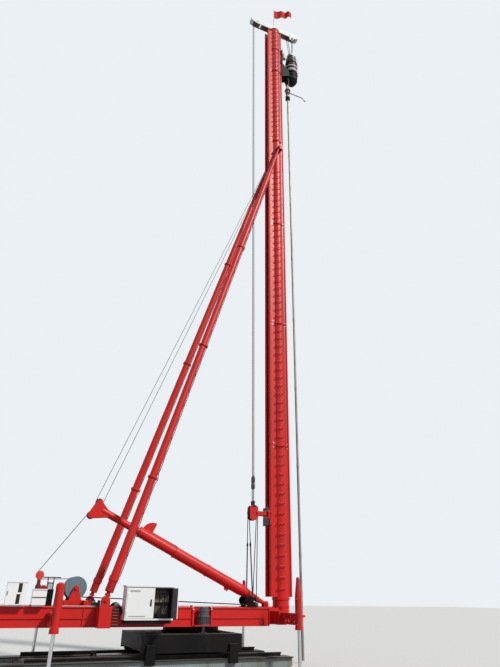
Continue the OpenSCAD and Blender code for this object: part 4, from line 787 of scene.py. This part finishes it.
# %% Pin caps
CAP_HEIGHT = 0.74
CAP = np.array([(0, -0.002), (1.0, -0.002), (1.0, 0.55), (0.86, 0.72), (0.36, CAP_HEIGHT), (0.3, 0.6),
                (0, 0.6)])


def cap_rows(centre, axis, radius, thickness=0.02, bolts=6):
    """A dished cap of the given radius, and a ring of bolts on its rim."""
    rim = centre + unit(axis) * thickness * 0.98
    ring = circle_places(rim, axis, radius * 0.68, np.arange(bolts) * 360 / bolts + 15)
    cap = turned_rows(CAP * (radius, thickness / CAP_HEIGHT), centre, axis)
    return [cap] + bolt_rows(ring, axis, radius * 0.085)


deck_caps, mast_caps, stay_caps = [], [], []
for side in (-1, 1):
    out_way = (0, side, 0)
    deck_caps += cap_rows((MAST_X, side * 0.435, 1.3), out_way, 0.078)
    deck_caps += cap_rows((STAY_FOOT[0], side * 1.405, STAY_FOOT[2]), out_way, 0.055)
    deck_caps += cap_rows((STAY_FOOT[0], side * 1.195, STAY_FOOT[2]), (0, -side, 0), 0.055)
    deck_caps += cap_rows((2.44, side * 0.115, 1.65), out_way, 0.046)
    deck_caps += cap_rows((WINCH_X, side * 0.445, WINCH_Z), out_way, 0.055, bolts=4)
    stay_caps += cap_rows((MAST_X, side * 0.51, BRACKET_Z), out_way, 0.055)
    for x in (REAR_TOP_X, FRONT_TOP_X):
        mast_caps += cap_rows((x, side * 0.15, TOP_Z), out_way, 0.062)
flat_piece("deck_pin_caps", deck_caps, enamel, "deck")
flat_piece("mast_pin_caps", mast_caps, bolt_steel, "mast")
flat_piece("stay_pin_caps", stay_caps, enamel, "mast")

# %% [markdown]
# ## Jack lines
# A jack's oil comes down a hard line beside its housing, with a clamp halfway and a square
# fitting at each end. The line bows out a little between its fittings.

# %% Hard lines and fittings
JACKS = [(2.56, 2.0, 1.86), (-4.13, 2.4, 2.06)]
HOUSING_R, LINE_FOOT, LINE_WAY = 0.1, 1.14, np.array([-0.8, -0.6, 0])
FITTING_HALF = np.array([0.024, 0.022, 0.022])
bow = HOUSING_R + 0.02 + 0.012 * np.sin(np.pi * np.linspace(0, 1, 30))
lines, fittings = [], []
for x, y, shoulder in JACKS:
    for side in (-1, 1):
        low, high = np.array([(x, side * y, LINE_FOOT), (x, side * y, shoulder - 0.06)])
        lines.append(tube_rows(line(low, high, 30) + bow[:, None] * LINE_WAY, 0.008, 8))
        for place in (low, (low + high) / 2, high):
            centre = place + (HOUSING_R + 0.012) * LINE_WAY
            fittings.append(block_rows(centre - FITTING_HALF, centre + FITTING_HALF, 0.005))
make_piece("jack_oil_lines", lines, rubber, "deck")
flat_piece("jack_oil_fittings", fittings, enamel, "deck")

# %% [markdown]
# ## Electric cabinet
# The left door is closed and has a swing handle, three long louvres and a strip at its foot.
# Behind the open door the switchgear is wired: a few cables drop from the rail to each unit in
# loose curves. A cable's path bends by a sine across its length, so it hangs off straight.

# %% Handle, louvres and foot strip
DOOR_Y = -1.5
LOCK = [(0, 0), (0.01, 0), (0.01, 0.024), (0, 0.024)]
handle = [block_rows((-1.665, DOOR_Y - 0.012, 1.585), (-1.625, DOOR_Y + 0.001, 1.745), 0.005),
          block_rows((-1.657, DOOR_Y - 0.034, 1.6), (-1.633, DOOR_Y - 0.02, 1.715), 0.005),
          turned_rows(LOCK, (-1.645, DOOR_Y - 0.01, 1.7), (0, -1, 0), 10)]
slats = [block_rows((-2.235, DOOR_Y - 0.004, z), (-1.955, DOOR_Y + 0.001, z + 0.006), 0.0015)
         for z in (1.922, 1.938, 1.954)]
foot_strip = [block_rows((-2.24, DOOR_Y - 0.006, 1.338), (-1.78, DOOR_Y + 0.003, 1.346), 0.002)]
for name, lofts in (("handle", handle), ("louvres", slats), ("foot_strip", foot_strip)):
    flat_piece(f"cabinet_{name}", lofts, rubber, "door_left")

# %% Wiring and meters behind the open door
UNITS = [(-1.44, 1.85), (-1.3, 1.85), (-1.16, 1.85), (-1.39, 1.58), (-1.19, 1.58)]
METER = [(0, 0), (0.03, 0), (0.03, 0.018), (0.024, 0.024), (0.022, 0.018), (0, 0.018)]
t = np.linspace(0, 1, 18)
wires = []
for k, (x, z) in enumerate(UNITS):
    for j in range(3):
        end = (x - 0.05 + 0.05 * j + 0.02 * np.sin(3.1 * k + j), -1.165, z - 0.24)
        path = line((x - 0.03 + 0.03 * j, -1.245, z), end, 18)
        path[:, 1] -= 0.05 * np.sin(np.pi * t)
        path[:, 0] += 0.018 * np.sin(2 * np.pi * t + k + j)
        wires.append(tube_rows(path, 0.005, 6, (1, 0, 0.2)))
make_piece("cabinet_wiring", wires, rubber, "deck")
meters = [(x, -1.15, 1.925) for x in (-1.42, -1.32, -1.22)]
make_piece("cabinet_meters", [turned_rows(METER, meters, (0, -1, 0), 20)], switchgear, "deck")

# %% [markdown]
# ## Rear cabinets
# Two dark vents with louvres and a latch are on the first small cabinet of the platform, and a
# grey rail and a seam cross the second.

# %% Vents, rail, seam and latch
REAR_Y = -1.18
louvre = []
for left, low_z, high_z in ((-5.032, 1.612, 1.835), (-5.012, 1.875, 2.082)):
    louvre.append(block_rows((left, REAR_Y - 0.005, low_z), (left + 0.088, REAR_Y + 0.001, high_z), 0.002))
    louvre += [block_rows((left + 0.006, REAR_Y - 0.011, z), (left + 0.082, REAR_Y - 0.004, z + 0.008), 0.002)
               for z in np.linspace(low_z + 0.02, high_z - 0.03, 7)]
flat_piece("rear_cabinet_vent", louvre, rubber, "deck")
seams = [block_rows((-4.655, REAR_Y - 0.01, 1.752), (-4.305, REAR_Y + 0.001, 1.776), 0.003),
         block_rows((-4.65, REAR_Y - 0.003, 1.925), (-4.31, REAR_Y + 0.001, 1.931), 0.001),
         block_rows((-5.262, REAR_Y - 0.014, 1.8), (-5.246, REAR_Y + 0.001, 1.9), 0.004)]
flat_piece("rear_cabinet_seams", seams, machine_grey, "deck")

# %% [markdown]
# ## Console knobs
# Each lever ends in a ball knob, turned from a half circle's profile: r = R sin t, h = -R cos t.

# %% Lever knobs
KNOB_R = 0.019
t = np.linspace(0, np.pi, 13)
knob = KNOB_R * np.stack([np.sin(t), -np.cos(t)], -1)
levers = [(-4.16 + 0.04 * i, 0.5 + 0.06 * i, 2.133) for i in range(4)]
make_piece("lever_knobs", [turned_rows(knob, levers, UP, 14)], rubber, "deck")

# %% [markdown]
# ## Lines on the head and along the stays
# A pale conduit runs down the drum's front to the gearbox, held by three clips. A cable is
# clipped along each stay. It steps out over each flange, so its distance from the stay's axis
# is a constant plus one bell curve for each flange.

# %% Conduit of the head
CLIP_HALF = np.array([0.03, 0.03, 0.02])
conduit_way = unit((0.89, -0.45, 0.0))
drum_axis = np.array([4.02, 0, 0])
heights = np.linspace(HEAD_Z + 0.6, HEAD_Z + 1.98, 40)
reach = 0.352 - 0.05 * np.exp(-((heights - HEAD_Z - 1.98) / 0.08) ** 2)
conduit = drum_axis + conduit_way * reach[:, None] + heights[:, None] * UP
middles = [drum_axis + conduit_way * 0.335 + (0, 0, HEAD_Z + up) for up in (0.68, 1.27, 1.52)]
clips = [block_rows(middle - CLIP_HALF, middle + CLIP_HALF, 0.006) for middle in middles]
make_piece("head_conduit", [tube_rows(conduit, 0.014)], silver_paint, "power_head")
flat_piece("head_conduit_clips", clips, bolt_steel, "power_head")

# %% Cables along the stays
CABLE_R = 0.011
FITTING = [(0, -0.016), (0.02, -0.016), (0.022, 0.0), (0.02, 0.016), (0, 0.016)]
for label, (foot, axis) in STAYS.items():
    side_way = unit((0, 0.15 * np.sign(foot[1]), 0) - np.cross(axis, (0, 1, 0)))
    s = np.linspace(0.62, 17.8, 400)
    step = sum(0.034 * np.exp(-((s - joint) / 0.09) ** 4) for joint in STAY_JOINTS)
    sag = 0.01 * np.sin(2 * np.pi * s / 1.2) ** 2
    path = foot + axis * s[:, None] + side_way * (0.115 + CABLE_R + 0.002 + step + sag)[:, None]
    clips = foot + axis * np.arange(1.2, 17.5, 1.2)[:, None] + side_way * 0.122
    make_piece(f"stay_cable_{label}", [tube_rows(path, CABLE_R, 8), turned_rows(FITTING, clips, axis, 10)],
               rubber, f"stay_{label[0]}")

# %% [markdown]
# ## Boots on the stays' screws
# A bellows boot keeps dirt off each stay's screw. Its outside is a wave along the stay's axis:
# r = middle - height cos(2 pi folds s / length). It reaches from the screw's collar to the tube
# and stays fixed where it is drawn.

# %% Screw boots
BOOT_LOW, BOOT_HIGH, BOOT_FOLDS = 0.205, 0.482, 14
BOOT_R, FOLD_HEIGHT, BOOT_BORE = 0.114, 0.006, 0.046
u = np.linspace(0, 1, BOOT_FOLDS * 6 + 1)
skin = np.stack([BOOT_R - FOLD_HEIGHT * np.cos(2 * np.pi * BOOT_FOLDS * u),
                 BOOT_LOW + (BOOT_HIGH - BOOT_LOW) * u], -1)
boot = [(BOOT_BORE, BOOT_LOW), *skin, (BOOT_BORE, BOOT_HIGH), (BOOT_BORE, BOOT_LOW)]
for label, (foot, axis) in STAYS.items():
    piece = make_piece(f"stay_boot_{label}", [turned_rows(boot, foot, axis, 28)], enamel, None)
    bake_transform(piece)

# %% [markdown]
# ## Pipes, steps and corner plates of the near beam
# Two pipes run along the near beam's top edge in clips, a few steps are welded to its side
# beside the cabinet, and corner plates cover the cut corners beside the slewing drive. The
# plates' pale bare steel is a painted highlight where the sun catches those corners.

# %% Pipes, steps and corner plates
BEAM_TOP, BEAM_SIDE = 1.55, -1.0
pipes = [tube_rows(line((-3.98, y, BEAM_TOP + 0.016), (-2.99, y, BEAM_TOP + 0.016)), 0.013, 10, UP)
         for y in (-0.975, -0.935)]
make_piece("beam_pipes", pipes, plated_rod, "deck")
clips = [block_rows((x - 0.014, -0.996, BEAM_TOP - 0.001), (x + 0.014, -0.914, BEAM_TOP + 0.034), 0.004)
         for x in np.linspace(-3.9, -3.06, 5)]
flat_piece("beam_pipe_clips", clips, bolt_steel, "deck")

STEP_X, STEP_HALF, STEP_OUT = -2.475, 0.085, 0.06
near, far = BEAM_SIDE + 0.004, BEAM_SIDE - STEP_OUT
back, front = STEP_X - STEP_HALF, STEP_X + STEP_HALF
plan = [(back, near), (back, far), (front, far), (front, near)]
along = np.concatenate([line(plan[k], plan[k + 1], 9)[min(k, 1):] for k in range(3)])
steps = [tube_rows(np.column_stack([along, np.full(len(along), z)]), 0.01, 8, UP)
         for z in np.linspace(1.14, 1.5, 6)]
make_piece("beam_steps", steps, bolt_steel, "deck")


def slab_rows(first, second):
    """A slab between two outlines of equal length: centre, first, second, centre."""
    first, second = np.asarray(first, float), np.asarray(second, float)
    ends = [np.broadcast_to(ring.mean(0), ring.shape) for ring in (first, second)]
    return np.stack([ends[0], first, second, ends[1]])


# The corner plates take pale bare steel: a painted highlight where the sun catches the bay plates' cut
# corners.
corner = np.array([(-1.0215, 1.4885), (-0.9285, 1.5815), (-0.9335, 1.5865), (-1.0265, 1.4935)])
plates = [slab_rows(*[np.column_stack([np.full(4, x), corner * (-side, 1)]) for x in (low_x, low_x + 0.046)])
          for side in (-1, 1) for low_x in (-0.298, 0.252)]
flat_piece("bay_corner_plates", plates, bolt_steel, "deck")

# %% [markdown]
# ## Clamp under the swivel
# A dark clamp grips the rod under the swivel and turns with it. It is one turned profile with
# a groove, and four bolts stand out from its lower collar.

# %% Rod clamp
ROD_X, CLAMP_Z = 3.76, 24.99
clamp = [(0.0446, 0), (0.1, 0), (0.118, 0.015), (0.118, 0.055), (0.106, 0.062), (0.106, 0.078),
         (0.118, 0.085), (0.118, 0.125), (0.1, 0.16), (0.0446, 0.16), (0.0446, 0)]
collar = np.array([ROD_X, 0, CLAMP_Z + 0.035])
lofts = [turned_rows(clamp, (ROD_X, 0, CLAMP_Z), UP, 32)]
for place in circle_places(collar, UP, 0.117, (0, 90, 180, 270)):
    lofts += bolt_rows(place, place - collar, 0.014)
flat_piece("rod_clamp", lofts, rubber, "rod")

# %% [markdown]
# ## Valves and hoses on the deck
# Between the winch and the stay's foot sits a small valve block with its fittings, and short
# hoses arch from it to the winch. Each hose is straight in plan and a half wave in height, and
# its own hump keeps it apart from its neighbours.

# %% Valve block and its hoses
VALVE = np.array([-3.02, -0.86, 1.55])
PORTS = [(i, j) for i in range(3) for j in range(2)]
HOSE_POINTS = 28


def port_place(i, j, up):
    """The place over the valve block's port in row i and column j."""
    return VALVE + (-0.075 + 0.04 * i, -0.03 + 0.06 * j, up)


def hose_path(start, end, hump):
    """Straight in plan, and up by a rounded half wave: z = mix + hump sin(pi t) to the power 0.8."""
    path = line(start, end, HOSE_POINTS)
    path[:, 2] += hump * np.sin(np.pi * np.linspace(0, 1, HOSE_POINTS)) ** 0.8
    return path


blocks = [block_rows(VALVE + (-0.1, -0.07, 0.0), VALVE + (0.06, 0.07, 0.11), 0.008),
          block_rows(VALVE + (0.075, -0.05, 0.0), VALVE + (0.135, 0.05, 0.16), 0.006)]
flat_piece("valve_block", blocks, switchgear, "deck")
flat_piece("valve_fittings", bolt_rows([port_place(i, j, 0.109) for i, j in PORTS], UP, 0.014), bolt_steel,
           "deck")
hoses = [hose_path(port_place(i, j, 0.115), (-3.16 - 0.05 * i, -0.8 + 0.03 * j, 1.715),
                   0.07 + 0.015 * i + 0.01 * j) for i, j in PORTS]
make_piece("valve_hoses", [tube_rows(path, 0.01, 8) for path in hoses], rubber, "deck")
mains = [hose_path((-2.315, -1.1 - 0.035 * i, 1.36 + 0.02 * i), (-2.64, -0.92 - 0.03 * i, 1.566),
                   0.1 + 0.02 * i) for i in range(4)]
make_piece("cabinet_mains", [tube_rows(path, 0.012, 8) for path in mains], rubber, "deck")

# %% [markdown]
# ## The flag
# A small red flag flies on a pole over the crosshead. Cloth that hangs from one edge makes
# upright folds: its heading swings from side to side along its length, so the sheet stays
# as long as it was cut. Towards its free end it sags a little and grows narrower.

# %% Flag
FLAG_LONG, FLAG_HIGH, FLAG_TAPER = 1.08, 0.68, 0.32
FLAG_TOP, FLAG_R = 31.8, 0.022
WIND = np.radians(-22.0)
flag_cloth = weathered("flag_cloth", (0.6, 0.025, 0.02), (0.42, 0.02, 0.018), rough=(0.7, 0.9), patch=3.0,
                       streak=0.1, dust=0.0, grain=300.0, bump=0.0006, gloss=0.2)
FINISH_SLOT[flag_cloth.name] = "red_paint"


def flag_rows(long, high, columns=80, rows=28):
    """x and y are running sums of the heading's cosine and sine; a sag grows with the length."""
    u = np.linspace(0, long, columns)
    v = np.linspace(0, high, rows)
    heading = WIND + 0.8 * np.sin(2 * np.pi * u / 0.46 + 0.4) * np.clip(0.25 + u / long, 0, 1)
    step = np.gradient(u)
    x = MAST_X + FLAG_R * np.cos(WIND) + np.cumsum(np.cos(heading) * step) - step[0]
    y = FLAG_R * np.sin(WIND) + np.cumsum(np.sin(heading) * step)
    sag = 0.05 * (u / long) ** 1.5
    drop = v[:, None] * (1 - FLAG_TAPER * u / long)
    return np.stack(np.broadcast_arrays(x, y, FLAG_TOP - drop - sag), -1)


flag = make_piece("site_flag", [flag_rows(FLAG_LONG, FLAG_HIGH)], flag_cloth, "mast", wrap=False)

# %% [markdown]
# ## The ground
# A plain pale floor takes the rig's shadow. It is stage, not part of the machine. The camera
# sees it pale, while the light that it throws back up is that of duller ground.

# %% Floor
FLOOR_HALF = 120.0
FLOOR_SEEN, FLOOR_LIT = (0.72, 0.71, 0.69, 1.0), (0.3, 0.29, 0.27, 1.0)
floor_finish = bpy.data.materials.new("pale_floor")
floor_finish.use_nodes = True
tree = floor_finish.node_tree
floor_shader = tree.nodes["Principled BSDF"]
tones = tree.nodes.new("ShaderNodeMix")
tones.data_type = "RGBA"
tones.inputs["A"].default_value = FLOOR_LIT
tones.inputs["B"].default_value = FLOOR_SEEN
tree.links.new(seen_ray(tree), tones.inputs["Factor"])
tree.links.new(tones.outputs["Result"], floor_shader.inputs["Base Color"])
floor_shader.inputs["Roughness"].default_value = 0.95
floor_shader.inputs["Specular IOR Level"].default_value = 0.1
floor_mesh = bpy.data.meshes.new("pale_floor")
corners = FLOOR_HALF * np.array([(-1, -1, 0), (1, -1, 0), (1, 1, 0), (-1, 1, 0)])
floor_mesh.from_pydata(corners.tolist(), [], [(0, 1, 2, 3)])
floor_mesh.materials.append(floor_finish)
floor = bpy.data.objects.new("pale_floor", floor_mesh)
scene.collection.objects.link(floor)
